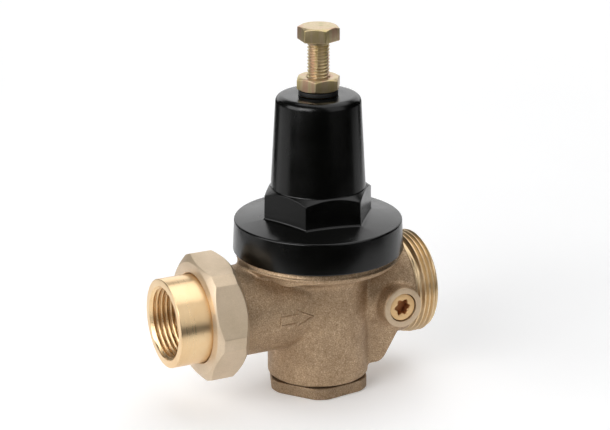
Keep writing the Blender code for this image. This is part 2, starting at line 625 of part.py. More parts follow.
def make_diaphragm(materials):
    """Diaphragm with its two plates, and the ring that the bonnet presses on it."""
    middle_top = DIAPHRAGM_MIDDLE + DIAPHRAGM_THICKNESS
    rim_top = DIAPHRAGM_RIM + DIAPHRAGM_THICKNESS
    sheet = [(STEM_HOLE_R, DIAPHRAGM_MIDDLE), (DIAPHRAGM_MIDDLE_R, DIAPHRAGM_MIDDLE),
             (DIAPHRAGM_SLOPE_R, DIAPHRAGM_MIDDLE + DIAPHRAGM_SLOPE_RISE),
             (DIAPHRAGM_RIM_R, DIAPHRAGM_RIM), (DIAPHRAGM_R, DIAPHRAGM_RIM),
             (DIAPHRAGM_R, rim_top), (DIAPHRAGM_RIM_R - DIAPHRAGM_TAPER, rim_top),
             (DIAPHRAGM_SLOPE_R - DIAPHRAGM_TAPER, middle_top + DIAPHRAGM_SLOPE_RISE),
             (DIAPHRAGM_MIDDLE_R - DIAPHRAGM_TAPER, middle_top), (STEM_HOLE_R, middle_top)]
    finish_round(turned("diaphragm", sheet, materials["rubber"], SIDES_LARGE))
    plate = [(STEM_HOLE_R, PLATE_BOTTOM), (PLATE_R - PLATE_EDGE, PLATE_BOTTOM),
             (PLATE_R, PLATE_BOTTOM + PLATE_EDGE), (PLATE_R, PLATE_TOP),
             (PLATE_WALL_OUT_R, PLATE_TOP), (PLATE_WALL_OUT_R, PLATE_WALL_TOP),
             (PLATE_WALL_IN_R, PLATE_WALL_TOP), (PLATE_WALL_IN_R, PLATE_MIDDLE_TOP),
             (STEM_HOLE_R, PLATE_MIDDLE_TOP)]
    finish_round(turned("diaphragm_plate", plate, materials["zinc"]))
    backing = [(STEM_HOLE_R, BACKING_BOTTOM), (BACKING_LOW_R, BACKING_BOTTOM),
               (BACKING_R, BACKING_EDGE_TOP), (BACKING_R, BACKING_TOP),
               (STEM_HOLE_R, BACKING_TOP)]
    finish_round(turned("diaphragm_backing", backing, materials["polished"]))
    finish_round(turned("slip_ring", ring(SLIP_IN_R, SLIP_OUT_R, SLIP_BOTTOM, SLIP_TOP),
                        materials["acetal"], SIDES_LARGE))


def make_stem(materials):
    """Stem with its balance piston, the nut that clamps the plates, and the piston's ring."""
    outline = [(0, STEM_BOTTOM), (STEM_TIP_R, STEM_BOTTOM),
               (STEM_DISC_R, STEM_BOTTOM + STEM_TIP_EDGE), (STEM_DISC_R, STEM_SHOULDER),
               (STEM_R, STEM_SHOULDER), (STEM_R, STEM_FLANGE[0]),
               (STEM_FLANGE_R, STEM_FLANGE[0]), (STEM_FLANGE_R, STEM_FLANGE[1]),
               (STEM_R, STEM_FLANGE[1]), (STEM_R, PISTON_BOTTOM), (PISTON_R, PISTON_BOTTOM),
               (PISTON_R, PISTON_GROOVE[0]), (PISTON_GROOVE_R, PISTON_GROOVE[0]),
               (PISTON_GROOVE_R, PISTON_GROOVE[1]), (PISTON_R, PISTON_GROOVE[1]),
               (PISTON_R, PISTON_TOP), (STEM_WAIST_R, PISTON_TOP),
               (STEM_WAIST_R, STEM_STOP[0]), (STEM_STOP_R, STEM_STOP[0]),
               (STEM_STOP_R, STEM_STOP[1]), (STEM_WAIST_R, STEM_STOP[1]),
               (STEM_WAIST_R, STEM_CLAMP), (STEM_R, STEM_CLAMP),
               (STEM_R, STEM_TOP - STEM_TIP_EDGE), (STEM_R - STEM_TIP_EDGE, STEM_TOP),
               (0, STEM_TOP)]
    finish_round(turned("stem", outline, materials["polished"]))
    torus("piston_oring", *PISTON_ORING, materials["rubber"])
    make_nut("stem_nut", STEM_NUT_FLATS, STEM_NUT_BOTTOM, STEM_NUT_TOP, 0.0, STEM_HOLE_R,
             materials["zinc"])


def cartridge_outline():
    """The seat cartridge from the seat up its outside, and down its barrel."""
    foot_bottom = SEAT_CONE[1]
    head_bottom, head_top = CARTRIDGE_HEAD
    low_groove, top_groove = CARTRIDGE_LOW_GROOVE, CARTRIDGE_TOP_GROOVE
    return [(SEAT_FACE[0], SEAT_Z), (SEAT_FACE[1], SEAT_Z), SEAT_CONE,
            (CARTRIDGE_FOOT_R, foot_bottom), (CARTRIDGE_FOOT_R, low_groove[0]),
            (CARTRIDGE_LOW_GROOVE_R, low_groove[0]), (CARTRIDGE_LOW_GROOVE_R, low_groove[1]),
            (CARTRIDGE_FOOT_R, low_groove[1]), (CARTRIDGE_FOOT_R, CARTRIDGE_FOOT_TOP),
            (CARTRIDGE_FLANGE_R, CARTRIDGE_FOOT_TOP), (CARTRIDGE_FLANGE_R, CARTRIDGE_FLANGE_TOP),
            (CARTRIDGE_TUBE_R, CARTRIDGE_FLANGE_TOP), (CARTRIDGE_TUBE_R, head_bottom),
            (CARTRIDGE_HEAD_R, head_bottom), (CARTRIDGE_HEAD_R, top_groove[0]),
            (CARTRIDGE_TOP_GROOVE_R, top_groove[0]), (CARTRIDGE_TOP_GROOVE_R, top_groove[1]),
            (CARTRIDGE_HEAD_R, top_groove[1]), (CARTRIDGE_HEAD_R, head_top),
            (CARTRIDGE_BARREL_R, head_top), (CARTRIDGE_BARREL_R, CARTRIDGE_BARREL_BOTTOM),
            (SEAT_R, SEAT_THROAT_TOP)]


def make_cartridge(materials):
    """Seat cartridge with its windows, rings, strainer and retaining ring."""
    cartridge = turned("seat_cartridge", cartridge_outline(), materials["polished"])
    for reach_x, reach_y in ((WINDOW_REACH, WINDOW_HALF_WIDTH), (WINDOW_HALF_WIDTH, WINDOW_REACH)):
        combine(cartridge, block("window", (-reach_x, -reach_y, WINDOW_BOTTOM),
                                 (reach_x, reach_y, WINDOW_TOP)))
    finish_round(cartridge)
    torus("cartridge_upper_oring", *CARTRIDGE_UPPER_ORING, materials["rubber"])
    torus("cartridge_lower_oring", *CARTRIDGE_LOWER_ORING, materials["rubber"])
    finish_round(turned("strainer_screen",
                        ring(SCREEN_IN_R, SCREEN_OUT_R, SCREEN_BOTTOM, SCREEN_TOP),
                        materials["steel"]))
    finish_round(turned("cartridge_retainer",
                        ring(RETAINER_IN_R, RETAINER_OUT_R, RETAINER_BOTTOM, RETAINER_TOP),
                        materials["polished"]))


def make_disc(materials):
    """Disc holder with its rubber disc, washer and nut."""
    cup = [(DISC_HOLE_R, HOLDER_BOTTOM), (HOLDER_LIP_IN_R, HOLDER_BOTTOM),
           (HOLDER_R, HOLDER_EDGE_TOP), (HOLDER_R, HOLDER_TOP), (HOLDER_LIP_IN_R, HOLDER_TOP),
           (HOLDER_LIP_IN_R, HOLDER_FLOOR), (DISC_HOLE_R, HOLDER_FLOOR)]
    finish_round(turned("disc_holder", cup, materials["polished"]))
    finish_round(turned("seat_disc", ring(DISC_IN_R, DISC_OUT_R, DISC_BOTTOM, DISC_TOP),
                        materials["rubber"]))
    washer = ring(STEM_HOLE_R, DISC_WASHER_R, DISC_WASHER_BOTTOM, DISC_WASHER_TOP)
    finish_round(turned("disc_washer", washer, materials["steel"]))
    make_nut("disc_nut", DISC_NUT_FLATS, DISC_NUT_BOTTOM, DISC_NUT_TOP, 0.0, DISC_HOLE_R,
             materials["zinc"])


def make_union_nut(materials):
    """Union nut, with a hole for the tailpiece and a thread for the inlet."""
    front, rear = UNION_FRONT_X, UNION_REAR_X
    edge_in, edge_along = UNION_REAR_EDGE
    outline = [(0, front), (UNION_FACE_R, front), (UNION_CORNER_R, front + UNION_FRONT_EDGE),
               (UNION_CORNER_R, rear - edge_along), (UNION_CORNER_R - edge_in, rear), (0, rear)]
    nut = turned("union_nut", outline, materials["matte_brass"], SIDES_LARGE)
    flats = hexagon("union_flats", UNION_FLATS, front - THROUGH, rear + THROUGH, UNION_TURN)
    combine(nut, flats, "INTERSECT")
    bore = [(0, front - THROUGH), (UNION_HOLE_R, front - THROUGH),
            (UNION_HOLE_R, UNION_THREAD_FRONT_X), (UNION_THREAD_R, UNION_THREAD_FRONT_X),
            (UNION_THREAD_R, rear + THROUGH), (0, rear + THROUGH)]
    combine(nut, turned("union_bore", bore, sides=SIDES_LARGE))
    finish_round(lay_along_x(nut))


def make_tailpiece(materials):
    """Inlet tailpiece with a collar behind the union nut, and the flat gasket behind it."""
    socket_end = TAIL_FACE_X + TAIL_SOCKET_DEPTH
    tail = [(TAIL_SOCKET_R + TAIL_SOCKET_LIP, TAIL_FACE_X), (TAIL_R - TAIL_EDGE, TAIL_FACE_X),
            (TAIL_R, TAIL_FACE_X + TAIL_EDGE), (TAIL_R, TAIL_COLLAR_FRONT_X),
            (TAIL_COLLAR_R, TAIL_COLLAR_FRONT_X), (TAIL_COLLAR_R, TAIL_END_X),
            (BORE_R, TAIL_END_X), (BORE_R, socket_end), (TAIL_SOCKET_R, socket_end),
            (TAIL_SOCKET_R, TAIL_FACE_X + TAIL_SOCKET_LIP)]
    finish_round(lay_along_x(turned("tailpiece", tail, materials["polished"], SIDES_LARGE)))
    gasket = ring(GASKET_IN_R, GASKET_OUT_R, GASKET_FRONT_X, GASKET_REAR_X)
    finish_round(lay_along_x(turned("union_gasket", gasket, materials["fibre"])))


def make_gauge_plug(materials):
    """Screw plug of the gauge port, and the ring behind it."""
    outline = [(0, 0), (PLUG_R - PLUG_TIP_EDGE, 0), (PLUG_R, PLUG_TIP_EDGE),
               (PLUG_R, PLUG_LENGTH - PLUG_FACE_EDGE), (PLUG_R - PLUG_FACE_EDGE, PLUG_LENGTH),
               (0, PLUG_LENGTH)]
    plug = turned("gauge_plug", outline, materials["polished"])
    combine(plug, hexagon("socket", PLUG_SOCKET_FLATS, PLUG_SOCKET_FLOOR, PLUG_LENGTH + THROUGH,
                          0.0))
    seal = torus("plug_seal", *PLUG_SEAL, materials["rubber"])
    plug_tip_y = BOSS_FACE_Y + PLUG_FACE_DEPTH + PLUG_LENGTH
    for piece in (plug, seal):
        piece.rotation_euler = (math.pi / 2, 0.0, 0.0)
        piece.location = (BOSS_X * MM, plug_tip_y * MM, BOSS_Z * MM)
    finish_round(plug)


def main():
    """Build the whole valve."""
    clear_scene()
    materials = make_materials()
    make_body(materials)
    make_bottom_cap(materials)
    make_bonnet(materials)
    make_adjuster(materials)
    make_spring(materials)
    make_diaphragm(materials)
    make_stem(materials)
    make_cartridge(materials)
    make_disc(materials)
    make_union_nut(materials)
    make_tailpiece(materials)
    make_gauge_plug(materials)


main()
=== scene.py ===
"""The looks of the pressure reducing valve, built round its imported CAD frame.

Sizes are in millimetres, and MM turns them into metres when a mesh is made. The frame is the
CAD model's: +Z up the valve axis, +X along the flow, and the gauge boss on the -Y side.
"""
import json
import math

import bmesh
import bpy
import numpy as np
from mathutils import Matrix, Vector


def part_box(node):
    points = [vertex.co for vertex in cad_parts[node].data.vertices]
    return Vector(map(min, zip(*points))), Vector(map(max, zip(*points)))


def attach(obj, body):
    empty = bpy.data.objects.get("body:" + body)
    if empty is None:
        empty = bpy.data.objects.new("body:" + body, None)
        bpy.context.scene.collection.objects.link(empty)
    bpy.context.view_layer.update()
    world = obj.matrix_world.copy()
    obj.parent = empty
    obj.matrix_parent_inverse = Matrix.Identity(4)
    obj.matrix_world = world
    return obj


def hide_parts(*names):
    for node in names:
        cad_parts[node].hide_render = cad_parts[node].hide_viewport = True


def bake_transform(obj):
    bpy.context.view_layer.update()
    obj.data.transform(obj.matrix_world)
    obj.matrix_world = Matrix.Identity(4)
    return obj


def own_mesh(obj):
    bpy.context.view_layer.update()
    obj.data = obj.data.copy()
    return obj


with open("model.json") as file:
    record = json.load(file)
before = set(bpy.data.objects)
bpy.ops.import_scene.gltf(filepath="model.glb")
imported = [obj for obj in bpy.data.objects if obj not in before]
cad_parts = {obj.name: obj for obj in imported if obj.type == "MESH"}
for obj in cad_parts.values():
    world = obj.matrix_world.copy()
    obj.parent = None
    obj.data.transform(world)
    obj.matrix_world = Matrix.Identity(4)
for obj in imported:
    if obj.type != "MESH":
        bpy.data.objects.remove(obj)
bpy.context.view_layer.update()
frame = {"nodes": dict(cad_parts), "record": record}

MM = 0.001
TAU = 2 * math.pi
SHARP_ANGLE = math.radians(40)


def box_mm(node):
    """A CAD node's lowest and highest corners, in millimetres."""
    low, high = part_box(node)
    return low / MM, high / MM


def mount_mm(name):
    """A mount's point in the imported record, in millimetres."""
    spot = next(m["pos_m"] for m in frame["record"]["mounts"] if m["name"] == name)
    return Vector(spot) / MM


# Places and sizes read from the frame
TAIL_LOW, TAIL_HIGH = box_mm("tailpiece")
UNION_LOW, UNION_HIGH = box_mm("union_nut")
BODY_LOW, BODY_HIGH = box_mm("valve_body")
BONNET_LOW, BONNET_HIGH = box_mm("bonnet")
SCREW_LOW, SCREW_HIGH = box_mm("adjusting_screw")
NUT_LOW, NUT_HIGH = box_mm("lock_nut")
WASHER_LOW, WASHER_HIGH = box_mm("lock_washer")
CAP_LOW, CAP_HIGH = box_mm("bottom_cap")
PLUG_LOW, PLUG_HIGH = box_mm("gauge_plug")
FLOW_Z = (TAIL_LOW.z + TAIL_HIGH.z) / 2
OUTLET_X = mount_mm("outlet_face").x
BOSS_FACE_Y = mount_mm("gauge_port_face").y
BOSS_X = (PLUG_LOW.x + PLUG_HIGH.x) / 2
BOSS_Z = (PLUG_LOW.z + PLUG_HIGH.z) / 2

# Casting, outside. A pair of numbers gives two ends, the lower one first.
NECK_R = 23.3
NECK_TOP = 64.0
NECK_EDGE = 0.9
INLET_TUBE_R = 20.7
INLET_TUBE_X = -47.0, 2.0
INLET_END_X = BODY_LOW.x
TUBE_FILLET = 1.1     # where the inlet and outlet tubes meet the neck
OUTLET_TUBE_X = 4.0, 39.9
OUTLET_TUBE_R = 17.6
OUTLET_TUBE_EDGE = 1.0
SWELL = 5.2           # how much the outlet tube's radius grows towards its end
SWELL_START = 17.0
SWELL_LENGTH = 21.0
SWELL_POWER = 0.8
WEB_HALF_WIDTH = 14.0
WEB_X = 4.0, 37.5
WEB_BOTTOM = 9.0
WEB_FOOT_X = 27.2     # where the slope of its underside starts
WEB_RUN, WEB_RISE = 9.0, 15.0
WEB_EDGE = 3.0
WEB_END_EDGE = 2.0
WEB_FILLET = 1.4
BOSS_R = 9.4
BOSS_CAST_R = BOSS_R + 0.15
BOSS_ROOT = 8.0
BOSS_RING = 0.45      # how far the machined ring stands out of the cast boss
BOSS_EDGE = 0.5
BOSS_FILLET = 2.0
BOWL_R = 24.4         # the bowl between neck and rim, at the height BOWL_Z
BOWL_Z = 56.0
BOWL_GROWTH = 1.9
BOWL_SHARE = 0.47     # turns the distance across into the distance to the slope
BOWL_ENDS = 52.0, 63.0
BOWL_FILLET = 3.0
RIM_R = 36.0
RIM_BOTTOM = 60.5
RIM_TOP = 65.6
RIM_EDGE = 1.3
RIM_FILLET = 1.8
RIM_WAVE = 1.9        # how far the lower edge rises and dips near the inlet tube
RIM_RISE_WIDTH = 17.0     # degrees
RIM_DIP_AT = 40.0
RIM_DIP_WIDTH = 10.0
BODY_THREAD_R = 34.5
BODY_THREAD_BOTTOM = 62.0
BODY_THREAD_EDGE = 0.4

# Casting, inside. A bore on the valve axis is (radius, lower end, upper end, edge rounding).
BORE_EDGE = 0.8
CAP_SEAT, CAP_BORE = (21.5, 3.0, 8.3, 0.1), (19.1, 3.0, 17.2, 0.2)
LOWER_ROOM, SEAT_BORE = (18.4, 10.0, 31.0, BORE_EDGE), (14.6, 28.0, 40.0, 0.2)
INLET_ROOM, CARTRIDGE_BORE = (18.6, 36.0, 51.5, BORE_EDGE), (17.6, 45.0, 70.0, 0.2)
AXIS_BORES = (CAP_SEAT, CAP_BORE, LOWER_ROOM, SEAT_BORE, INLET_ROOM, CARTRIDGE_BORE)
DISH_R = 30.4         # the dished room under the diaphragm
DISH_LOW_R = 17.6
DISH_BOTTOM = 59.5
DISH_SLOPE = 0.31
DISH_TOP = 75.0
INLET_BORE_R = 14.3
INLET_BORE_X = -60.0, -14.0
OUTLET_BORE_R = 16.0
THROAT_X = 25.0
THROAT_R, THROAT_LEAST_R = 9.0, 6.0
THROAT_FLARE = 1.4
THROAT_FILLET = 0.5
PASSAGES = (((14.0, 20.5), (22.8, 20.5), 7.5), ((22.8, 20.5), (32.5, 42.0), 7.4))    # (x, z)
PASSAGE_FILLET = 1.0
PLUG_BORE_R = 6.7
PLUG_BORE_Y = -40.0, -17.8
GAUGE_HOLE_R = 4.6
GAUGE_HOLE_Y = -20.0, -10.0
SENSE_HOLE_R = 1.5
SENSE_HOLE_X = 28.6
SENSE_HOLE_Z = 55.0, 66.0
HOLLOW_EDGE = 0.5
CASTING_BOX = (-49.0, -38.0, 4.0), (43.0, 38.0, 72.0)
CELL = 0.7            # grid of the casting's mesh

# Pipe threads of the casting
PIPE_THREAD_R = 23.9
PIPE_ROOT_R = 22.2
PIPE_CORE_R = 22.0
PIPE_PITCH = 2.309
PIPE_DEPTH = 1.25
THREAD_CREST = 0.86   # share of a pitch at which a flank starts, and the share that it takes
THREAD_FLANK = 0.72
OUTLET_PIECE_X = 38.8
OUTLET_RELIEF_X = 40.4
OUTLET_THREAD_X = 41.6
INLET_PIECE_X = -46.4

# Bonnet, outside
FLANGE_BOTTOM_R = 38.9
FLANGE_TOP_R = 38.2
FLANGE_TOP = 80.5
FLANGE_TOP_EDGE = 0.7
FLANGE_RISE = 1.8     # how much the flange's top rises from its rim to the tower
BONNET_FLATS = 44.2
BONNET_TURN = math.radians(51.1)
CONE_SLOPE = math.tan(math.radians(34.7))
TOWER_BASE_R = 21.5
TOWER_BASE_Z = 95.7
TOWER_TOP_R = 19.1
TOWER_TOP_EDGE = 3.4

# Bonnet, inside
BONNET_THREAD_R = 34.9
BONNET_THREAD_TOP = 74.3
PLATE_ROOM_R = 28.5
PLATE_ROOM_TOP = 76.6
SPRING_ROOM_BASE_R = 18.6
SPRING_ROOM_BASE = 78.0
SPRING_ROOM_TOP_R = 16.0
SPRING_ROOM_TOP = 124.5
INSERT_HOLE_R = 8.6

# Screw, nut and washer
SCREW_R = 5.0
SCREW_PITCH = 1.5
SCREW_THREAD_DEPTH = 0.62
HEAD_FLATS = 16.6
HEAD_BOTTOM = 163.0
HEAD_TURN = math.radians(23.2)
NUT_FLATS = 18.2
NUT_TURN = math.radians(-3.0)
WASHER_R = 8.9
CHAMFER = 0.577       # tangent of 30 degrees, for the chamfers of head and nut
HEX_CORNER = 0.35     # rounding of a head's or nut's corners
HEX_SOFT_CORNER = 0.55    # the same for the bonnet's hexagon

# Union, tailpiece and cap
TAIL_R = 20.15
TAIL_COLLAR_R = 23.5
TAIL_COLLAR_X = -58.1
SOCKET_R = 15.6
SOCKET_ROOT_R = 16.6
SOCKET_DEPTH = 17.0
UNION_FLATS = 52.8
UNION_CORNER_FLATS = 57.6
UNION_TURN = math.radians(37.7)
UNION_BREAK = math.radians(6.3)   # from a corner to the edge of the flat that cuts it off
UNION_FRONT_R = 25.5
UNION_FRONT_SLOPE = 0.62
UNION_REAR_R = 25.3
UNION_REAR_SLOPE = 0.9
UNION_MOUTH_R = 24.6
UNION_THREAD_R = 24.0
UNION_INNER_X = -58.4     # inner side of the lip that pulls on the tailpiece's collar
UNION_GAP = 0.35
CAP_FLATS = 44.2
CAP_CORNER_R = 23.9
CAP_TURN = math.radians(7.0)
CAP_BREAK = math.radians(9)
CAP_TOP = 5.5
CAP_WELL_R = 14.5
CAP_WELL_BOTTOM = 3.5
SPIGOT_R = 18.7

# Gauge plug, measured from its face
PLUG_SOCKET_DEPTH = 4.2
PLUG_DRILL_DEPTH = 0.9    # the point below the socket's floor
LOBE_R, LOBE_WAVE = 3.3, 0.5
LOBE_CHAMFER = 0.35
# Where the socket's inside gets a darker brass, as painted shade in the recess
PLUG_SOCKET_SHADE_R = 3.9
PLUG_SOCKET_SHADE_FROM = 0.4

# Spring and diaphragm
WIRE_R = 2.0
SPRING_TURNS = 6.5
DIAPHRAGM_THICKNESS = 1.8
STEM_HOLE_R = 4.3
DISH_RISE = 1.4       # height of the step in the middle of the diaphragm's dish


# ---------------------------------------------------------------- mesh tools

def linked(name, data):
    """A new object in the scene."""
    thing = bpy.data.objects.new(name, data)
    bpy.context.collection.objects.link(thing)
    return thing


def new_piece(name, verts, faces, material):
    """A smooth-shaded mesh object from points in millimetres."""
    build = bmesh.new()
    made = [build.verts.new(v) for v in np.asarray(verts, float) * MM]
    for face in faces:
        build.faces.new([made[i] for i in face])
    bmesh.ops.remove_doubles(build, verts=build.verts, dist=1e-7)
    bmesh.ops.recalc_face_normals(build, faces=build.faces)
    mesh = bpy.data.meshes.new(name)
    build.to_mesh(mesh)
    build.free()
    mesh.materials.append(material)
    mesh.shade_smooth()
    mesh.set_sharp_from_angle(angle=SHARP_ANGLE)
    return linked(name, mesh)


def rounded(corners, steps=4):
    """Outline points from (radius, height, fillet) corners, each fillet drawn as an arc.

    A corner whose fillet is None only gives the direction of its neighbour's edge.
    """
    points = []
    count = len(corners)
    for i, (radius, height, fillet) in enumerate(corners):
        here = np.array((radius, height), float)
        if fillet is None:
            continue
        if fillet == 0:
            points.append(here)
            continue
        back = np.array(corners[i - 1][:2], float) - here
        ahead = np.array(corners[(i + 1) % count][:2], float) - here
        back_len, ahead_len = np.hypot(*back), np.hypot(*ahead)
        back, ahead = back / back_len, ahead / ahead_len
        half = math.acos(max(-1.0, min(1.0, float(back @ ahead)))) / 2
        reach = min(fillet / math.tan(half), 0.45 * back_len, 0.45 * ahead_len)
        size = reach * math.tan(half)
        middle = back + ahead
        centre = here + middle / np.hypot(*middle) * size / math.sin(half)
        first, last = here + back * reach - centre, here + ahead * reach - centre
        sweep = math.pi - 2 * half
        for step in range(steps + 1):
            share = step / steps
            points.append(centre + (math.sin((1 - share) * sweep) * first
                                    + math.sin(share * sweep) * last) / math.sin(sweep))
    return points


def spun(name, section, angles, material, closed=True):
    """Spin a (radius, height) section round Z; the section may change with the angle."""
    rows = [section(angle) for angle in angles]
    width = len(rows[0])
    verts = [(r * math.cos(a), r * math.sin(a), h)
             for a, row in zip(angles, rows) for r, h in row]
    faces = []
    spans = width if closed else width - 1
    for i in range(len(angles)):
        j = (i + 1) % len(angles)
        for k in range(spans):
            m = (k + 1) % width
            quad = (i * width + k, j * width + k, j * width + m, i * width + m)
            on_axis = [rows[i][k][0] < 1e-9, rows[i][m][0] < 1e-9]
            if all(on_axis):
                continue
            if on_axis[0]:
                quad = (quad[0], quad[2], quad[3])
            elif on_axis[1]:
                quad = (quad[0], quad[1], quad[3])
            faces.append(quad)
    return new_piece(name, verts, faces, material)


def evenly(count):
    """Angles round a full turn."""
    return [TAU * i / count for i in range(count)]


def crowded(corners, count=96, reach=math.radians(4.0), extra=5):
    """Angles round a full turn, with more of them close to the corners."""
    angles = set(round(a, 9) for a in evenly(count))
    for corner in corners:
        for step in range(-extra, extra + 1):
            angles.add(round((corner + reach * step / extra) % TAU, 9))
    return sorted(angles)


def six(turn):
    """The angles of a hexagon's corners."""
    return [turn + TAU * k / 6 for k in range(6)]


def hexagon_radius(angle, flats, turn, fillet):
    """Distance from the axis to a hexagon with rounded corners."""
    sector = TAU / 6
    off = abs((angle - turn) % sector - sector / 2)
    if fillet == 0:
        return flats / 2 / math.cos(off)
    inner = flats / 2 - fillet
    corner = inner / math.cos(sector / 2)
    if math.tan(off) * flats / 2 <= inner * math.tan(sector / 2):
        return flats / 2 / math.cos(off)
    apart = sector / 2 - off
    return corner * math.cos(apart) + math.sqrt(fillet ** 2 - (corner * math.sin(apart)) ** 2)


def along_x(thing):
    """Lay a piece spun round Z onto the flow axis, so that its height runs along +X."""
    thing.data.transform(Matrix.Translation((0, 0, FLOW_Z * MM)) @ Matrix.Rotation(TAU / 4, 4, "Y"))
    return thing


def onto_boss(thing, face_y):
    """Turn a piece spun round Z to face -Y, on the axis of the gauge boss."""
    thing.data.transform(Matrix.Translation((BOSS_X * MM, face_y * MM, BOSS_Z * MM))
                         @ Matrix.Rotation(-TAU / 4, 4, "X"))
    return thing


def blunted(first, second, sharpness):
    """The lesser of two radii, with the corner between them softened."""
    return -math.log(math.exp(-first * sharpness) + math.exp(-second * sharpness)) / sharpness


def thread_depth(turns):
    """Depth of a pipe or screw thread, from 0 at its crest to 1 at its root."""
    off = abs(turns % 1.0 - 0.5) * 2
    return min(1.0, max(0.0, (THREAD_CREST - off) / THREAD_FLANK))


def fade(value, start, end):
    """0 at start and 1 at end, with a smooth step between."""
    share = min(1.0, max(0.0, (value - start) / (end - start)))
    return share * share * (3 - 2 * share)


# ---------------------------------------------------------------- the casting as a distance field

def join(first, second, size):
    """Smooth union of two distance fields."""
    share = np.clip(0.5 + 0.5 * (second - first) / size, 0, 1)
    return second * (1 - share) + first * share - size * share * (1 - share)


def cut(first, second, size=0.4):
    """Smooth cut of the second field from the first."""
    return -join(-first, second, size)


def both(first, second, size=0.4):
    """Smooth intersection of two fields."""
    return -join(-first, -second, size)


def slab(along, low, high):
    """Distance to the space between two planes."""
    return np.abs(along - (low + high) / 2) - (high - low) / 2


def post(radius, along, size, low, high, edge=BORE_EDGE):
    """Distance to a cylinder with rounded edges."""
    side, end = radius - size + edge, slab(along, low + edge, high - edge)
    outside = np.hypot(np.maximum(side, 0), np.maximum(end, 0))
    return np.minimum(np.maximum(side, end), 0) + outside - edge


def lean_rod(x, y, z, start, end, size):
    """Distance to a capsule between two (x, z) points on the y = 0 plane."""
    ax, az = start
    bx, bz = end
    length = math.hypot(bx - ax, bz - az)
    ux, uz = (bx - ax) / length, (bz - az) / length
    share = np.clip((x - ax) * ux + (z - az) * uz, 0, length)
    return np.sqrt((x - ax - share * ux) ** 2 + y ** 2 + (z - az - share * uz) ** 2) - size


def rim_low(x, y):
    """Height of the rim's lower edge: it rises over the inlet tube, and dips beside it."""
    side = np.degrees(np.arctan2(np.abs(y), -x))
    rise = RIM_WAVE * np.exp(-((side / RIM_RISE_WIDTH) ** 2))
    dip = -RIM_WAVE * np.exp(-(((side - RIM_DIP_AT) / RIM_DIP_WIDTH) ** 2))
    return RIM_BOTTOM + rise + dip


def casting_outside(x, y, z):
    """The outside of the bronze casting."""
    from_axis = np.hypot(x, y)
    from_flow = np.hypot(y, z - FLOW_Z)
    neck = post(from_axis, z, NECK_R, BODY_LOW.z, NECK_TOP, NECK_EDGE)
    inlet = post(from_flow, x, INLET_TUBE_R, *INLET_TUBE_X)
    shape = join(neck, inlet, TUBE_FILLET)
    size = OUTLET_TUBE_R + SWELL * np.clip((x - SWELL_START) / SWELL_LENGTH, 0, 1) ** SWELL_POWER
    outlet = both(from_flow - size, slab(x, *OUTLET_TUBE_X), OUTLET_TUBE_EDGE)
    shape = join(shape, outlet, TUBE_FILLET)
    slope = (x - WEB_FOOT_X) * WEB_RISE - (z - WEB_BOTTOM) * WEB_RUN
    slope = slope / math.hypot(WEB_RISE, WEB_RUN)
    web = both(slab(y, -WEB_HALF_WIDTH, WEB_HALF_WIDTH), WEB_BOTTOM - z, WEB_EDGE)
    web = both(web, slope, WEB_EDGE)
    web = both(web, slab(x, *WEB_X), WEB_END_EDGE)
    web = both(web, z - FLOW_Z, WEB_END_EDGE)
    shape = join(shape, web, WEB_FILLET)
    boss = post(np.hypot(x - BOSS_X, z - BOSS_Z), -y, BOSS_CAST_R,
                BOSS_ROOT, -BOSS_FACE_Y - BOSS_RING, BOSS_EDGE)
    shape = join(shape, boss, BOSS_FILLET)
    slant = (from_axis - BOWL_R - (z - BOWL_Z) * BOWL_GROWTH) * BOWL_SHARE
    shape = join(shape, np.maximum(slant, slab(z, *BOWL_ENDS)), BOWL_FILLET)
    rim = both(from_axis - RIM_R, np.maximum(rim_low(x, y) - z, z - RIM_TOP), RIM_EDGE)
    shape = join(shape, rim, RIM_FILLET)
    thread = post(from_axis, z, BODY_THREAD_R, BODY_THREAD_BOTTOM, BODY_HIGH.z, BODY_THREAD_EDGE)
    return np.minimum(shape, thread)


def casting_hollows(x, y, z):
    """The chambers, bores and passages inside the casting."""
    from_axis = np.hypot(x, y)
    from_flow = np.hypot(y, z - FLOW_Z)
    hollow = np.minimum.reduce([post(from_axis, z, *bore) for bore in AXIS_BORES])
    dish = np.maximum(from_axis - DISH_R, DISH_BOTTOM + (from_axis - DISH_LOW_R) * DISH_SLOPE - z)
    hollow = np.minimum(hollow, np.maximum(dish, z - DISH_TOP))
    hollow = np.minimum(hollow, post(from_flow, x, INLET_BORE_R, *INLET_BORE_X))
    size = np.clip(THROAT_R + (x - THROAT_X) * THROAT_FLARE, THROAT_LEAST_R, OUTLET_BORE_R)
    hollow = join(hollow, np.maximum(from_flow - size, THROAT_X - x), THROAT_FILLET)
    for start, end, radius in PASSAGES:
        hollow = join(hollow, lean_rod(x, y, z, start, end, radius), PASSAGE_FILLET)
    boss_r = np.hypot(x - BOSS_X, z - BOSS_Z)
    hollow = np.minimum(hollow, np.maximum(boss_r - PLUG_BORE_R, slab(y, *PLUG_BORE_Y)))
    hollow = np.minimum(hollow, np.maximum(boss_r - GAUGE_HOLE_R, slab(y, *GAUGE_HOLE_Y)))
    sense = np.hypot(x - SENSE_HOLE_X, y) - SENSE_HOLE_R
    return np.minimum(hollow, np.maximum(sense, slab(z, *SENSE_HOLE_Z)))


def casting_field(x, y, z):
    """The whole casting: negative inside the metal."""
    return cut(casting_outside(x, y, z), casting_hollows(x, y, z), HOLLOW_EDGE)


SLOPE_STEP = 1e-3     # how far apart a field is read to find its slope
LEAST_SLOPE = 0.25    # squared; where a field is flatter, its points move less
NET_ROUNDS = 3


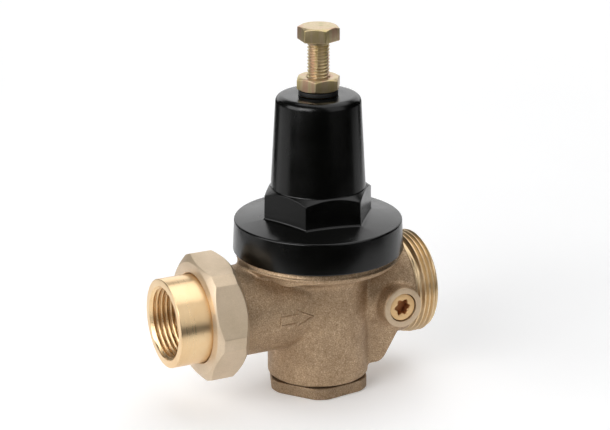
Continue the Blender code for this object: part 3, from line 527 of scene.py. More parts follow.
def net(name, field, low, high, cell, material):
    """Mesh the surface where a field is zero, with one point in each cell that it crosses.

    Each point then moves along the field's slope, until it lies on the surface.
    """
    axes = [np.arange(a, b + cell, cell) for a, b in zip(low, high)]
    value = field(*np.meshgrid(*axes, indexing="ij"))
    inside = value < 0
    cells = tuple(n - 1 for n in value.shape)
    total = np.zeros(cells + (3,))
    hits = np.zeros(cells)
    views = {}
    for corner in np.ndindex(2, 2, 2):
        views[corner] = tuple(slice(c, c + n) for c, n in zip(corner, cells))
    for first in np.ndindex(2, 2, 2):
        for axis in range(3):
            if first[axis]:
                continue
            second = tuple(1 if i == axis else c for i, c in enumerate(first))
            a, b = value[views[first]], value[views[second]]
            crossed = (a < 0) != (b < 0)
            share = np.where(crossed, a / np.where(crossed, a - b, 1.0), 0.0)
            for i in range(3):
                spot = share if i == axis else first[i]
                total[..., i] += np.where(crossed, spot, 0.0)
            hits += crossed
    used = hits > 0
    index = np.full(cells, -1)
    index[used] = np.arange(int(used.sum()))
    points = total[used] / hits[used][:, None] + np.argwhere(used)
    points = np.array(low) + points * cell
    for _ in range(NET_ROUNDS):
        here = field(*points.T)
        slope = np.stack([(field(*(points + SLOPE_STEP * unit).T) - here) / SLOPE_STEP
                          for unit in np.eye(3)], 1)
        size = np.maximum((slope ** 2).sum(1), LEAST_SLOPE)
        points -= np.clip(here / size, -cell / 3, cell / 3)[:, None] * slope
    faces = []
    for axis in range(3):
        u, v = [i for i in range(3) if i != axis]
        low_side = [slice(None)] * 3
        high_side = [slice(None)] * 3
        low_side[axis], high_side[axis] = slice(0, -1), slice(1, None)
        changed = inside[tuple(low_side)] != inside[tuple(high_side)]
        spots = np.argwhere(changed)
        spots = spots[(spots[:, u] > 0) & (spots[:, v] > 0)
                      & (spots[:, u] < cells[u]) & (spots[:, v] < cells[v])]
        ring = []
        for du, dv in ((1, 1), (0, 1), (0, 0), (1, 0)):
            near = spots.copy()
            near[:, u] -= du
            near[:, v] -= dv
            ring.append(index[tuple(near.T)])
        faces.append(np.stack(ring, 1))
    mesh = bpy.data.meshes.new(name)
    mesh.from_pydata((points * MM).tolist(), [], np.concatenate(faces).tolist())
    build = bmesh.new()
    build.from_mesh(mesh)
    bmesh.ops.recalc_face_normals(build, faces=build.faces)
    build.to_mesh(mesh)
    build.free()
    mesh.materials.append(material)
    mesh.shade_smooth()
    return linked(name, mesh)


# ---------------------------------------------------------------- materials

class Nodes:
    """A short way to write a material's nodes."""

    def __init__(self, name):
        self.material = bpy.data.materials.new(name)
        self.material.use_nodes = True
        self.tree = self.material.node_tree
        self.shader = self.tree.nodes["Principled BSDF"]
        self.place = self.tree.nodes.new("ShaderNodeTexCoord").outputs["Object"]

    def link(self, source, target):
        self.tree.links.new(source, target)

    def set(self, **values):
        """Set plain values on the shader's own sockets."""
        for key, value in values.items():
            self.shader.inputs[key.replace("_", " ")].default_value = value

    def stretched(self, scale):
        """Object coordinates with another scale along each axis."""
        node = self.tree.nodes.new("ShaderNodeMapping")
        node.inputs["Scale"].default_value = scale
        self.link(self.place, node.inputs["Vector"])
        return node.outputs["Vector"]

    def noise(self, per_mm, detail=4.0, roughness=0.5, vector=None):
        """Noise with about this many features for each millimetre."""
        node = self.tree.nodes.new("ShaderNodeTexNoise")
        node.inputs["Scale"].default_value = per_mm / MM
        node.inputs["Detail"].default_value = detail
        node.inputs["Roughness"].default_value = roughness
        self.link(vector or self.place, node.inputs["Vector"])
        return node.outputs["Fac"]

    def ramp(self, source, stops):
        """A colour ramp from (position, colour) stops."""
        node = self.tree.nodes.new("ShaderNodeValToRGB")
        ramp = node.color_ramp
        while len(ramp.elements) < len(stops):
            ramp.elements.new(0.5)
        for element, (position, colour) in zip(ramp.elements, stops):
            element.position = position
            element.color = (*colour, 1.0) if len(colour) == 3 else colour
        self.link(source, node.inputs["Fac"])
        return node.outputs["Color"]

    def grey(self, source, low, high, low_value, high_value):
        """Map a noise range onto a range of values."""
        node = self.tree.nodes.new("ShaderNodeMapRange")
        for key, value in (("From Min", low), ("From Max", high),
                           ("To Min", low_value), ("To Max", high_value)):
            node.inputs[key].default_value = value
        self.link(source, node.inputs["Value"])
        return node.outputs["Result"]

    def mix(self, share, first, second, mode="MIX"):
        """Mix two colours; the share and the colours may be sockets or plain values."""
        node = self.tree.nodes.new("ShaderNodeMix")
        node.data_type = "RGBA"
        node.blend_type = mode
        for key, value in ((0, share), (6, first), (7, second)):
            if isinstance(value, bpy.types.NodeSocket):
                self.link(value, node.inputs[key])
            else:
                node.inputs[key].default_value = value if key == 0 else (*value, 1.0)
        return node.outputs[2]

    def bump(self, *layers):
        """Stack (height, distance in millimetres, strength) bumps onto the normal."""
        normal = None
        for height, distance, strength in layers:
            node = self.tree.nodes.new("ShaderNodeBump")
            node.inputs["Distance"].default_value = distance * MM
            node.inputs["Strength"].default_value = strength
            self.link(height, node.inputs["Height"])
            if normal is not None:
                self.link(normal, node.inputs["Normal"])
            normal = node.outputs["Normal"]
        self.link(normal, self.shader.inputs["Normal"])

    def colour(self, source):
        self.link(source, self.shader.inputs["Base Color"])

    def rough(self, source):
        self.link(source, self.shader.inputs["Roughness"])


def cast_bronze(name, shade):
    """Blasted bronze casting: warm grey-brown with fine light and dark specks; shade scales the
    whole colour down as painted shade.
    """
    m = Nodes(name)
    m.set(Metallic=0.64, Specular_IOR_Level=0.5)
    grain = m.noise(1.7, 2.0, 0.6)
    patch = m.noise(0.30, 5.0, 0.68)
    cloud = m.noise(0.06, 4.0, 0.55)
    base = m.ramp(grain, [(0.30, (0.312, 0.208, 0.116)), (0.48, (0.428, 0.302, 0.183)),
                          (0.60, (0.505, 0.370, 0.243)), (0.74, (0.645, 0.500, 0.362))])
    # Random light and dark mottling, scaled by shade, which is painted shade
    mottle_and_shade = m.ramp(patch, [(0.32, (0.86 * shade, 0.83 * shade, 0.80 * shade)),
                          (0.50, (shade, shade, shade)),
                          (0.68, (1.09 * shade, 1.09 * shade, 1.08 * shade))])
    warm = m.ramp(cloud, [(0.35, (0.88, 0.85, 0.82)), (0.65, (1.09, 1.08, 1.08))])
    m.colour(m.mix(1.0, m.mix(1.0, base, mottle_and_shade, "MULTIPLY"), warm, "MULTIPLY"))
    m.rough(m.grey(grain, 0.3, 0.7, 0.60, 0.46))
    m.bump((patch, 0.10, 0.35), (grain, 0.05, 0.5))
    return m.material


def turned_brass(name, light, dark, roughness, ring_scale, metallic=1.0):
    """Machined brass with faint turning lines round the flow axis."""
    m = Nodes(name)
    m.set(Metallic=metallic)
    rings = m.noise(1.0, 3.0, 0.6, m.stretched((ring_scale, 0.03, 0.03)))
    stain = m.noise(0.045, 4.0, 0.6)
    base = m.ramp(stain, [(0.34, dark), (0.62, light)])
    m.colour(m.mix(m.grey(rings, 0.35, 0.65, 0.0, 0.10), base, dark))
    m.rough(m.grey(rings, 0.3, 0.7, roughness - 0.03, roughness + 0.04))
    m.bump((rings, 0.003, 0.5))
    return m.material


def union_brass():
    """Dull tumbled brass of the union nut."""
    m = Nodes("union_brass")
    m.set(Metallic=0.62, Specular_IOR_Level=0.5)
    fine = m.noise(1.6, 3.0, 0.6)
    cloud = m.noise(0.06, 4.0, 0.6)
    base = m.ramp(cloud, [(0.30, (0.640, 0.508, 0.355)), (0.55, (0.725, 0.582, 0.423)),
                          (0.75, (0.785, 0.648, 0.485))])
    m.colour(m.mix(m.grey(fine, 0.35, 0.7, 0.0, 0.14), base, (0.36, 0.28, 0.18)))
    m.rough(m.grey(fine, 0.3, 0.7, 0.38, 0.50))
    m.bump((m.noise(0.3, 3.0, 0.5), 0.05, 0.25), (fine, 0.02, 0.35))
    return m.material


def black_plastic():
    """Glossy moulded plastic, with the faint unevenness of its mould."""
    m = Nodes("black_plastic")
    m.set(Metallic=0.0, IOR=1.5, Specular_IOR_Level=0.36)
    wave = m.noise(0.03, 3.0, 0.5)
    dust = m.noise(1.9, 3.0, 0.7)
    m.colour(m.ramp(dust, [(0.45, (0.0010, 0.0011, 0.0008)), (0.75, (0.0030, 0.0030, 0.0026))]))
    m.rough(m.grey(m.noise(0.10, 4.0, 0.6), 0.3, 0.7, 0.20, 0.28))
    m.bump((wave, 0.25, 0.25), (dust, 0.006, 0.25))
    return m.material


def yellow_zinc():
    """Yellow passivated zinc, which shifts between gold, rose and green."""
    m = Nodes("yellow_zinc")
    m.set(Metallic=0.78)
    drift = m.noise(0.24, 3.0, 0.55, m.stretched((1.0, 1.0, 0.16)))
    fine = m.noise(1.4, 3.0, 0.6)
    base = m.ramp(drift, [(0.30, (0.42, 0.38, 0.16)), (0.42, (0.58, 0.46, 0.23)),
                          (0.54, (0.64, 0.51, 0.31)), (0.66, (0.60, 0.37, 0.25)),
                          (0.80, (0.50, 0.44, 0.23))])
    m.colour(m.mix(m.grey(fine, 0.4, 0.75, 0.0, 0.35), base, (0.48, 0.38, 0.24)))
    m.rough(m.grey(fine, 0.3, 0.7, 0.30, 0.42))
    m.bump((fine, 0.02, 0.4))
    return m.material


def grained(name, light, dark, roughness, metallic=0.0, noise=(2.2, 3.0, 0.6), spread=0.06,
            strength=0.4):
    """Rubber, fibre, plain plastic or drawn metal with a fine grain."""
    m = Nodes(name)
    m.set(Metallic=metallic)
    grain = m.noise(*noise)
    m.colour(m.ramp(grain, [(0.35, dark), (0.7, light)]))
    m.rough(m.grey(grain, 0.3, 0.7, roughness - 0.06, roughness + spread))
    m.bump((grain, 0.02, strength))
    return m.material


def satin_brass(name, light, dark, roughness):
    """Machined brass or bronze that has dulled, with fine scratches in every direction."""
    m = Nodes(name)
    m.set(Metallic=0.9)
    fine = m.noise(1.1, 4.0, 0.65)
    cloud = m.noise(0.08, 3.0, 0.6)
    base = m.ramp(cloud, [(0.32, dark), (0.66, light)])
    m.colour(m.mix(m.grey(fine, 0.4, 0.75, 0.0, 0.3), base, dark))
    m.rough(m.grey(fine, 0.3, 0.7, roughness - 0.05, roughness + 0.08))
    m.bump((fine, 0.02, 0.4))
    return m.material


# The cap gets a darker copy of the casting's bronze: painted shade for the bottom of the valve
CAP_SHADED_BRONZE = cast_bronze("cap_bronze_painted_shade", 0.74)
THREAD_BRASS = satin_brass("thread_brass", (0.80, 0.62, 0.39), (0.64, 0.47, 0.27), 0.34)
SOCKET_THREAD = satin_brass("socket_thread", (0.90, 0.66, 0.38), (0.78, 0.54, 0.28), 0.30)
BOSS_BRONZE = satin_brass("boss_bronze", (0.66, 0.52, 0.37), (0.55, 0.42, 0.28), 0.46)
PLUG_BRASS = satin_brass("plug_brass", (0.76, 0.52, 0.27), (0.62, 0.40, 0.19), 0.36)
# A darker, redder copy of the plug's brass, painted into its socket as shade
SOCKET_SHADE_BRASS = satin_brass("socket_brass_painted_shade", (0.56, 0.27, 0.11), (0.40, 0.18, 0.07), 0.5)
MATERIALS = {
    "cast_bronze": cast_bronze("cast_bronze", 1.0),
    "polished_brass": turned_brass("polished_brass", (0.88, 0.655, 0.39), (0.83, 0.575, 0.31),
                                   0.29, 2.2),
    "matte_brass": union_brass(),
    "black_plastic": black_plastic(),
    "yellow_zinc": yellow_zinc(),
    "spring_steel": grained("spring_steel", (0.50, 0.51, 0.53), (0.36, 0.37, 0.39), 0.34,
                            1.0, (0.8, 4.0, 0.6), 0.08, 0.3),
    "black_rubber": grained("black_rubber", (0.012, 0.012, 0.012), (0.006, 0.006, 0.006), 0.6),
    "gasket_fibre": grained("gasket_fibre", (0.48, 0.14, 0.09), (0.34, 0.09, 0.06), 0.82),
    "white_acetal": grained("white_acetal", (0.84, 0.83, 0.79), (0.76, 0.75, 0.70), 0.42),
}
SLOTS = {s["node"]: s["material_slot"] for s in frame["record"]["subparts"]}


def place(thing, body, slot, *nodes):
    """Let a piece ride on its body, and stand for CAD nodes."""
    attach(thing, body)
    if nodes:
        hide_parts(*nodes)
    return thing


# ---------------------------------------------------------------- the pieces

def make_casting():
    """The bronze casting, without its machined ends and boss face."""
    body = net("casting", casting_field, *CASTING_BOX, CELL, MATERIALS["cast_bronze"])
    place(body, "housing", "cast_bronze", "valve_body")


def outlet_section(angle):
    """Outlet end: relief, male thread and sealing face."""
    start, end = OUTLET_THREAD_X, OUTLET_X
    outline = [(OUTLET_BORE_R, OUTLET_X), (OUTLET_BORE_R, OUTLET_PIECE_X),
               (PIPE_CORE_R, OUTLET_PIECE_X), (PIPE_CORE_R, OUTLET_RELIEF_X),
               (PIPE_ROOT_R, OUTLET_RELIEF_X + 0.3)]
    count = 120
    for step in range(count + 1):
        x = start - 0.6 + (end - 0.35 - start + 0.6) * step / count
        depth = thread_depth(x / PIPE_PITCH - angle / TAU) * PIPE_DEPTH
        crest = PIPE_THREAD_R - 1.5 * (1 - fade(x, start - 0.9, start + 0.5))
        crest -= 1.2 * fade(x, end - 1.7, end - 0.2)
        outline.append((max(PIPE_ROOT_R, crest - depth), x))
    return outline + [(PIPE_ROOT_R, end), (OUTLET_BORE_R + 0.8, end)]


ARROW = ((-28.8, 1.4), (-20.6, 1.4), (-20.6, 3.2), (-13.0, -0.6), (-20.6, -4.2), (-20.6, -2.6),
         (-28.8, -2.6))
ARROW_STROKE = 0.5


def skin_y(x, z):
    """The casting's surface on the -Y side, at a place (x, z)."""
    near, far = -15.0, -30.0
    for _ in range(30):
        middle = (near + far) / 2
        if casting_outside(np.array(x), np.array(middle), np.array(z)) < 0:
            near = middle
        else:
            far = middle
    return near


def make_flow_arrow():
    """Raised outline of an arrow along the flow, on the side of the inlet tube."""
    path = []
    for (x0, z0), (x1, z1) in zip(ARROW, ARROW[1:] + ARROW[:1]):
        steps = max(2, round(math.hypot(x1 - x0, z1 - z0) / 0.4))
        path += [(x0 + (x1 - x0) * k / steps, FLOW_Z + z0 + (z1 - z0) * k / steps)
                 for k in range(steps)]
    count, sides = len(path), 8
    line = [Vector((x, skin_y(x, z), z)) for x, z in path]
    verts, faces = [], []
    for i, spot in enumerate(line):
        along = (line[(i + 1) % count] - line[i - 1]).normalized()
        out = Vector((0, spot.y, spot.z - FLOW_Z)).normalized()
        across = along.cross(out).normalized()
        for side in range(sides):
            turn = TAU * side / sides
            verts.append(spot + (across * math.cos(turn) + out * math.sin(turn)) * ARROW_STROKE)
            here, ahead = i * sides, (i + 1) % count * sides
            after = (side + 1) % sides
            faces.append((here + side, here + after, ahead + after, ahead + side))
    place(new_piece("flow_arrow", verts, faces, MATERIALS["cast_bronze"]), "housing", "cast_bronze")


def make_machined_faces():
    """Outlet thread, inlet thread and the bright ring of the gauge boss."""
    for name, section, count in (("outlet_thread", outlet_section, 192),
                                 ("inlet_thread", inlet_section, 160)):
        end = spun(name, section, evenly(count), THREAD_BRASS)
        place(along_x(end), "housing", "polished_brass")
    face = rounded([(PLUG_BORE_R, 0.0, 0.2), (BOSS_R, 0.0, 0.35),
                    (BOSS_R, 1.2, 0), (PLUG_BORE_R, 1.2, 0)])
    ring = spun("boss_face", lambda angle: face, evenly(96), BOSS_BRONZE)
    place(onto_boss(ring, BOSS_FACE_Y), "housing", "polished_brass")


def inlet_section(angle):
    """Inlet end, inside the union nut: male thread and gasket face."""
    start, end = INLET_END_X, INLET_PIECE_X
    outline = [(INLET_BORE_R, end), (INLET_BORE_R, start + 0.3), (INLET_BORE_R + 0.4, start)]
    count = 60
    for step in range(count + 1):
        x = start + (end - 0.8 - start) * step / count
        depth = thread_depth(x / PIPE_PITCH + angle / TAU) * PIPE_DEPTH
        crest = PIPE_THREAD_R - 1.6 * (1 - fade(x, start - 0.1, start + 1.5))
        crest -= 1.5 * fade(x, end - 2.0, end - 0.8)
        outline.append((max(PIPE_ROOT_R, crest - depth), x))
    return outline + [(PIPE_CORE_R, end)]


def make_tailpiece():
    """Polished inlet tail with a female pipe thread and the collar that the nut pulls on."""
    face = TAIL_LOW.x
    count = 150

    def section(angle):
        mouth = SOCKET_ROOT_R + 0.3
        outline = rounded([(mouth, face, None), (TAIL_R, face, 0.35), (TAIL_R, TAIL_COLLAR_X, 0.4),
                           (TAIL_COLLAR_R, TAIL_COLLAR_X, 0.4), (TAIL_COLLAR_R, TAIL_HIGH.x, 0.3),
                           (INLET_BORE_R, TAIL_HIGH.x, 0.3), (INLET_BORE_R, face, None)])
        outline += [np.array((INLET_BORE_R, face + SOCKET_DEPTH + 0.8))]
        for step in range(count + 1):
            x = face + SOCKET_DEPTH - (SOCKET_DEPTH - 0.5) * step / count
            depth = 1 - thread_depth(x / PIPE_PITCH + angle / TAU)
            radius = SOCKET_R + (SOCKET_ROOT_R - SOCKET_R) * depth
            flare = (SOCKET_ROOT_R - SOCKET_R) * (1 - fade(x, face + 0.2, face + 1.4))
            outline.append(np.array((max(radius, SOCKET_R + flare), x)))
        return outline + [np.array((mouth, face))]

    tail = spun("tailpiece_detail", section, evenly(192), MATERIALS["polished_brass"])
    tail.data.materials.append(SOCKET_THREAD)
    for face in tail.data.polygons:
        if math.hypot(*face.center[:2]) < (SOCKET_ROOT_R + 0.1) * MM:
            face.material_index = 1
    place(along_x(tail), "tail", "polished_brass", "tailpiece")


def make_union_nut():
    """Union nut: a hexagon whose corners are cut off by six narrow flats."""
    front, rear = UNION_LOW.x, UNION_HIGH.x
    breaks = [c + side * UNION_BREAK for c in six(UNION_TURN) for side in (-1, 1)]

    def section(angle):
        wide = hexagon_radius(angle, UNION_FLATS, UNION_TURN, 0.0)
        narrow = hexagon_radius(angle, UNION_CORNER_FLATS, UNION_TURN + TAU / 12, 0.0)
        outer = blunted(wide, narrow, 12)
        return rounded([(TAIL_R + UNION_GAP, front, 0.5), (UNION_FRONT_R, front, 0.25),
                        (outer, front + (outer - UNION_FRONT_R) * UNION_FRONT_SLOPE, 0.3),
                        (outer, rear - (outer - UNION_REAR_R) * UNION_REAR_SLOPE, 0.4),
                        (UNION_REAR_R, rear, 0.4), (UNION_MOUTH_R, rear, 0.4),
                        (UNION_THREAD_R, rear - 1.2, 0.2), (UNION_THREAD_R, UNION_INNER_X, 0.3),
                        (TAIL_R + UNION_GAP, UNION_INNER_X, 0.3)])

    nut = along_x(spun("union_nut_detail", section, crowded(breaks, 120, math.radians(1.2), 4),
                       MATERIALS["matte_brass"]))
    place(nut, "union", "matte_brass", "union_nut")


def make_bonnet():
    """Spring housing in black plastic: flange, hexagon, cone and tapered tower."""
    def section(angle):
        hexagon = hexagon_radius(angle, BONNET_FLATS, BONNET_TURN, HEX_SOFT_CORNER)
        cone_z = TOWER_BASE_Z - (hexagon - TOWER_BASE_R) * CONE_SLOPE
        low, top = BONNET_LOW.z, BONNET_HIGH.z
        rise = FLANGE_RISE * (FLANGE_TOP_R - FLANGE_TOP_EDGE - hexagon) / (
            FLANGE_TOP_R - FLANGE_TOP_EDGE - TOWER_BASE_R)
        return rounded([(BONNET_THREAD_R, low, 0.3), (FLANGE_BOTTOM_R, low, 0.6),
                        (FLANGE_TOP_R, FLANGE_TOP, 0.9), (hexagon, FLANGE_TOP + rise, 1.1),
                        (hexagon - 0.1, cone_z, 0.45), (TOWER_BASE_R, TOWER_BASE_Z, 0.9),
                        (TOWER_TOP_R, top, TOWER_TOP_EDGE), (INSERT_HOLE_R, top, 0.3),
                        (INSERT_HOLE_R, SPRING_ROOM_TOP, 0.3),
                        (SPRING_ROOM_TOP_R, SPRING_ROOM_TOP, 1.0),
                        (SPRING_ROOM_BASE_R, SPRING_ROOM_BASE, 0.5),
                        (PLATE_ROOM_R, PLATE_ROOM_TOP, 0.3), (PLATE_ROOM_R, BONNET_THREAD_TOP, 0.2),
                        (BONNET_THREAD_R, BONNET_THREAD_TOP, 0.2)], 6)

    bonnet = spun("bonnet_detail", section, crowded(six(BONNET_TURN), 180, math.radians(2.5), 5),
                  MATERIALS["black_plastic"])
    place(bonnet, "housing", "black_plastic", "bonnet")


def make_screw():
    """Hexagon bolt with a rolled thread."""
    top = SCREW_HIGH.z
    face_r = HEAD_FLATS / 2 * 0.95
    count = 420

    def section(angle):
        hexagon = hexagon_radius(angle, HEAD_FLATS, HEAD_TURN, HEX_CORNER)
        outline = [(0.0, top)]
        outline += rounded([(0.0, top, None), (face_r, top, 0.4),
                            (hexagon, top - (hexagon - face_r) * CHAMFER, 0.35),
                            (hexagon, HEAD_BOTTOM, 0.4), (SCREW_R - 0.2, HEAD_BOTTOM, 0.35),
                            (SCREW_R - 0.2, HEAD_BOTTOM - 1.2, None)])
        outline = [tuple(p) for p in outline]
        start = HEAD_BOTTOM - 1.2
        for step in range(count + 1):
            z = start - (start - SCREW_LOW.z - 0.05) * step / count
            depth = thread_depth(z / SCREW_PITCH - angle / TAU) * SCREW_THREAD_DEPTH
            depth *= 1 - fade(z, start - 1.2, start)
            tip = 1.2 * (1 - fade(z, SCREW_LOW.z, SCREW_LOW.z + 1.6))
            outline.append((SCREW_R - 0.05 - max(depth, tip), z))
        return outline + [(0.0, SCREW_LOW.z)]

    screw = spun("adjusting_screw_detail", section, crowded(six(HEAD_TURN), 72, math.radians(4), 3),
                 MATERIALS["yellow_zinc"], closed=False)
    place(screw, "screw", "yellow_zinc", "adjusting_screw")


def make_lock_nut():
    """Lock nut with both faces chamfered, and its washer."""
    low, top = NUT_LOW.z, NUT_HIGH.z
    face_r = NUT_FLATS / 2 * 0.96

    def section(angle):
        hexagon = hexagon_radius(angle, NUT_FLATS, NUT_TURN, HEX_CORNER)
        drop = (hexagon - face_r) * CHAMFER
        return rounded([(SCREW_R + 0.15, low + 0.6, 0), (SCREW_R + 0.8, low, 0.2),
                        (face_r, low, 0.3), (hexagon, low + drop, 0.35),
                        (hexagon, top - drop, 0.35), (face_r, top, 0.3),
                        (SCREW_R + 0.8, top, 0.2), (SCREW_R + 0.15, top - 0.6, 0)])

    nut = spun("lock_nut_detail", section, crowded(six(NUT_TURN), 72, math.radians(4), 3),
               MATERIALS["yellow_zinc"])
    place(nut, "nut", "yellow_zinc", "lock_nut")
    low, high = WASHER_LOW.z, WASHER_HIGH.z
    ring = rounded([(SCREW_R + 0.3, low, 0.2), (WASHER_R, low, 0.35), (WASHER_R, high, 0.35),
                    (SCREW_R + 0.3, high, 0.2)])
    washer = spun("lock_washer_detail", lambda angle: ring, evenly(96), MATERIALS["black_rubber"])
    place(washer, "washer", "black_rubber", "lock_washer")


def make_cap():
    """Bottom cap: a thin hexagon with turned-off corners, and its hollow spigot."""
    breaks = [c + side * CAP_BREAK for c in six(CAP_TURN) for side in (-1, 1)]

    def section(angle):
        hexagon = hexagon_radius(angle, CAP_FLATS, CAP_TURN, 0.6)
        outer = blunted(hexagon, CAP_CORNER_R, 5)
        low = CAP_LOW.z
        outline = rounded([(0.0, CAP_WELL_BOTTOM, None), (CAP_WELL_R, CAP_WELL_BOTTOM, 0.4),
                           (CAP_WELL_R, CAP_HIGH.z, 0.3), (SPIGOT_R, CAP_HIGH.z, 0.6),
                           (SPIGOT_R, CAP_TOP, 0.2), (outer, CAP_TOP, 0.45),
                           (outer, low, 0.7), (0.0, low, None)])
        return [(0.0, CAP_WELL_BOTTOM)] + [tuple(p) for p in outline] + [(0.0, low)]

    cap = spun("bottom_cap_detail", section, crowded(breaks, 144, math.radians(5), 4),
               CAP_SHADED_BRONZE, closed=False)
    place(cap, "housing", "cast_bronze", "bottom_cap")


def make_gauge_plug():
    """Screw plug with a six-lobe socket."""
    depth, length = PLUG_SOCKET_DEPTH, PLUG_HIGH.y - PLUG_LOW.y
    radius = (PLUG_HIGH.x - PLUG_LOW.x) / 2

    def section(angle):
        lobe = LOBE_R + LOBE_WAVE * math.cos(6 * angle)
        outline = rounded([(lobe, depth, 0), (lobe, 0.5, 0), (lobe + LOBE_CHAMFER, 0.0, 0.1),
                           (radius, 0.0, 0.3), (radius, length, 0.6), (0.0, length, None)])
        return [(0.0, depth + PLUG_DRILL_DEPTH)] + [tuple(p) for p in outline] + [(0.0, length)]

    plug = spun("gauge_plug_detail", section, evenly(144), PLUG_BRASS, closed=False)
    # Faces inside the socket take the darker brass: painted shade in the recess
    plug.data.materials.append(SOCKET_SHADE_BRASS)
    for face in plug.data.polygons:
        from_axis = math.hypot(*face.center[:2])
        if face.center.z > PLUG_SOCKET_SHADE_FROM * MM and from_axis < PLUG_SOCKET_SHADE_R * MM:
            face.material_index = 1
    place(onto_boss(plug, PLUG_LOW.y), "housing", "polished_brass", "gauge_plug")


def make_spring():
    """Round-wire compression spring, drawn at one fixed length."""
    low, high = box_mm("main_spring")
    coil = (high.x - low.x) / 2 - WIRE_R
    around, across = 40, 14
    steps = round(SPRING_TURNS * around)
    bottom, top = low.z + WIRE_R, high.z - WIRE_R
    verts, faces = [], []
    for step in range(steps + 1):
        angle = TAU * SPRING_TURNS * step / steps
        out = Vector((math.cos(angle), math.sin(angle), 0))
        climb = (top - bottom) / (TAU * SPRING_TURNS * coil)
        along = Vector((-out.y, out.x, climb)).normalized()
        up = along.cross(out)
        centre = out * coil + Vector((0, 0, bottom + (top - bottom) * step / steps))
        for side in range(across):
            turn = TAU * side / across
            verts.append(centre + (out * math.cos(turn) + up * math.sin(turn)) * WIRE_R)
            if step < steps:
                here, nxt = step * across + side, step * across + (side + 1) % across
                faces.append((here, nxt, nxt + across, here + across))
    faces.append(tuple(range(across)))
    faces.append(tuple(steps * across + side for side in range(across)))
    spring = new_piece("main_spring_detail", verts, faces, MATERIALS["spring_steel"])
    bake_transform(spring)
    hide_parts("main_spring")


def make_diaphragm():
    """Rubber diaphragm with a dished middle."""
    low, high = box_mm("diaphragm")
    reach, bottom, top = high.x, low.z, high.z
    rim = top - DIAPHRAGM_THICKNESS
    middle_top = bottom + DIAPHRAGM_THICKNESS
    sheet = rounded([(STEM_HOLE_R, bottom, 0.2), (21.5, bottom, 2.0),
                     (25.0, bottom + DISH_RISE, 2.0), (28.0, rim, 2.0), (reach, rim, 0.3),
                     (reach, top, 0.3), (27.6, top, 2.0), (24.6, middle_top + DISH_RISE, 2.0),
                     (21.1, middle_top, 2.0), (STEM_HOLE_R, middle_top, 0.2)])
    diaphragm = spun("diaphragm_detail", lambda angle: sheet, evenly(120),
                     MATERIALS["black_rubber"])
    place(diaphragm, "housing", "black_rubber", "diaphragm")
    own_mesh(diaphragm)


def finish_carried_nodes():
    """Give the CAD nodes that stay the finish of their material slot."""
    for name, thing in frame["nodes"].items():
        if thing.hide_render:
            continue
        thing.data.materials.clear()
        thing.data.materials.append(MATERIALS[SLOTS[name]])


# ---------------------------------------------------------------- camera, floor and light

CAMERA_ROUND = math.radians(26.56)   # from -Y towards -X
CAMERA_RISE = math.radians(18.79)
CAMERA_DISTANCE = 910.4
CAMERA_AIM_SIDE = -5.93
CAMERA_AIM_Z = 81.28
CAMERA_LENS = 118.3
SENSOR_WIDTH = 36.0
LIGHT_TARGET = 0, 0, 0.07

# Floor, in metres: the edges of the near floor, across and along the view, and of its surround
FLOOR_ACROSS = -0.26, 0.33
FLOOR_ALONG = -0.16, 3.0
SURROUND_EDGE = 4.0
FLOOR_DROP = 0.0002
FLOOR_FADE = 0.35, 0.95       # distances between which the paint fades to glowing white
FLOOR_GLOW = 0.24, 0.97
WORLD_STRENGTH = 0.012

# name, azimuth, elevation, distance, size, radiance, whether it only shows in reflections
LIGHTS = (
    ("back_panel", 63, 21, 1.7, (2.8, 1.1), 1.35, False),
    ("overhead", 20, 74, 1.3, (1.5, 1.4), 1.65, False),
    ("key", -152, 28, 1.3, (0.7, 0.6), 5.7, False),
    ("left_panel", 176, 22, 1.4, (1.1, 0.8), 3.3, False),
    ("right_panel", -66, 31, 1.5, (1.2, 1.5), 1.0, True),
    ("left_card", 146, -6, 0.62, (0.52, 0.17), 0.85, False),
    ("right_card", -6, -11, 0.75, (0.40, 0.20), 0.55, False),
)


def make_camera():
    """The camera, aimed by angle and distance."""
    back = Vector((-math.sin(CAMERA_ROUND) * math.cos(CAMERA_RISE),
                   -math.cos(CAMERA_ROUND) * math.cos(CAMERA_RISE), math.sin(CAMERA_RISE)))
    side = Vector((math.cos(CAMERA_ROUND), -math.sin(CAMERA_ROUND), 0))
    aim = side * CAMERA_AIM_SIDE + Vector((0, 0, CAMERA_AIM_Z))
    data = bpy.data.cameras.new("camera")
    data.lens = CAMERA_LENS
    data.sensor_width = SENSOR_WIDTH
    camera = linked("camera", data)
    camera.location = (aim + back * CAMERA_DISTANCE) * MM
    camera.rotation_euler = back.to_track_quat("Z", "Y").to_euler()
    bpy.context.scene.camera = camera


def area_light(name, azimuth, elevation, distance, size, radiance, only_shine):
    """A soft panel, placed by direction and distance and turned towards the valve."""
    round_z, rise = math.radians(azimuth), math.radians(elevation)
    back = Vector((math.cos(round_z) * math.cos(rise), math.sin(round_z) * math.cos(rise),
                   math.sin(rise)))
    data = bpy.data.lights.new(name, "AREA")
    data.shape = "RECTANGLE"
    data.size, data.size_y = size
    data.energy = radiance * math.pi * size[0] * size[1]
    lamp = linked(name, data)
    lamp.location = Vector(LIGHT_TARGET) + back * distance
    lamp.rotation_euler = back.to_track_quat("Z", "Y").to_euler()
    lamp.visible_camera = False
    lamp.visible_diffuse = not only_shine


def make_floor(name, paint, across, along, hollow=False):
    """A pale floor on a grid of edges, in metres; a hollow one leaves out its middle."""
    build = bmesh.new()
    rows = [[build.verts.new((x, y, 0)) for x in across] for y in along]
    for i in range(len(along) - 1):
        for j in range(len(across) - 1):
            if not (hollow and i == j == 1):
                build.faces.new((rows[i][j], rows[i][j + 1], rows[i + 1][j + 1], rows[i + 1][j]))
    bmesh.ops.subdivide_edges(build, edges=build.edges, cuts=7, use_grid_fill=True)
    mesh = bpy.data.meshes.new(name)
    build.to_mesh(mesh)
    build.free()
    mesh.materials.append(paint)
    floor = linked(name, mesh)
    floor.location = (0, 0, -FLOOR_DROP)
    floor.rotation_euler = (0, 0, -CAMERA_ROUND)
    return floor


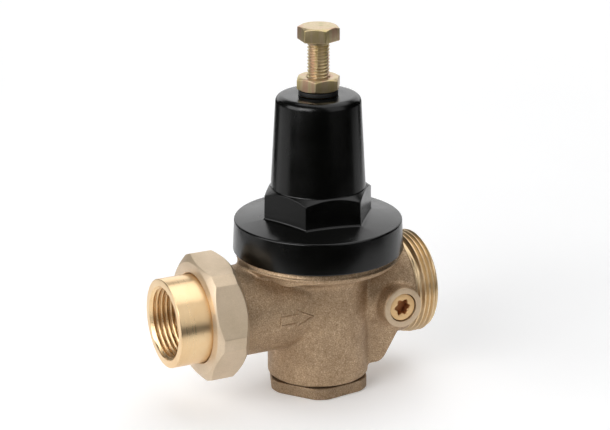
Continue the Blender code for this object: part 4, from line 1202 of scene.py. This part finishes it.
def make_studio():
    """Pale floor, soft studio light, and a world that the camera sees as white."""
    m = Nodes("floor_paint")
    paint = m.ramp(m.noise(0.01, 2.0), [(0.3, (0.87, 0.87, 0.875)), (0.7, (0.89, 0.89, 0.895))])
    length = m.tree.nodes.new("ShaderNodeVectorMath")
    length.operation = "LENGTH"
    m.link(m.place, length.inputs[0])
    away = m.grey(length.outputs["Value"], *FLOOR_FADE, 0.0, 1.0)
    m.colour(m.mix(away, paint, (0.0, 0.0, 0.0)))
    m.link(m.grey(away, 0.0, 1.0, *FLOOR_GLOW), m.shader.inputs["Emission Strength"])
    m.set(Roughness=0.7, Specular_IOR_Level=0.2, Emission_Color=(1, 1, 1, 1))
    make_floor("floor", m.material, FLOOR_ACROSS, FLOOR_ALONG)
    surround = make_floor("floor_surround", m.material,
                          (-SURROUND_EDGE, *FLOOR_ACROSS, SURROUND_EDGE),
                          (-SURROUND_EDGE, *FLOOR_ALONG, SURROUND_EDGE), hollow=True)
    surround.visible_glossy = surround.visible_diffuse = False

    world = bpy.data.worlds.new("studio")
    world.use_nodes = True
    tree = world.node_tree
    soft = tree.nodes["Background"]
    soft.inputs["Color"].default_value = (0.97, 0.98, 1.0, 1.0)
    soft.inputs["Strength"].default_value = WORLD_STRENGTH
    white = tree.nodes.new("ShaderNodeBackground")
    white.inputs["Color"].default_value = (1.0, 1.0, 1.0, 1.0)
    path = tree.nodes.new("ShaderNodeLightPath")
    mix = tree.nodes.new("ShaderNodeMixShader")
    tree.links.new(path.outputs["Is Camera Ray"], mix.inputs[0])
    tree.links.new(soft.outputs[0], mix.inputs[1])
    tree.links.new(white.outputs[0], mix.inputs[2])
    tree.links.new(mix.outputs[0], tree.nodes["World Output"].inputs["Surface"])
    bpy.context.scene.world = world
    bpy.context.scene.view_settings.view_transform = "Standard"

    for light in LIGHTS:
        area_light(*light)


def main():
    """Build every piece, the studio and the camera."""
    make_camera()
    make_casting()
    make_machined_faces()
    make_flow_arrow()
    make_tailpiece()
    make_union_nut()
    make_bonnet()
    make_screw()
    make_lock_nut()
    make_cap()
    make_gauge_plug()
    make_spring()
    make_diaphragm()
    finish_carried_nodes()
    make_studio()


main()
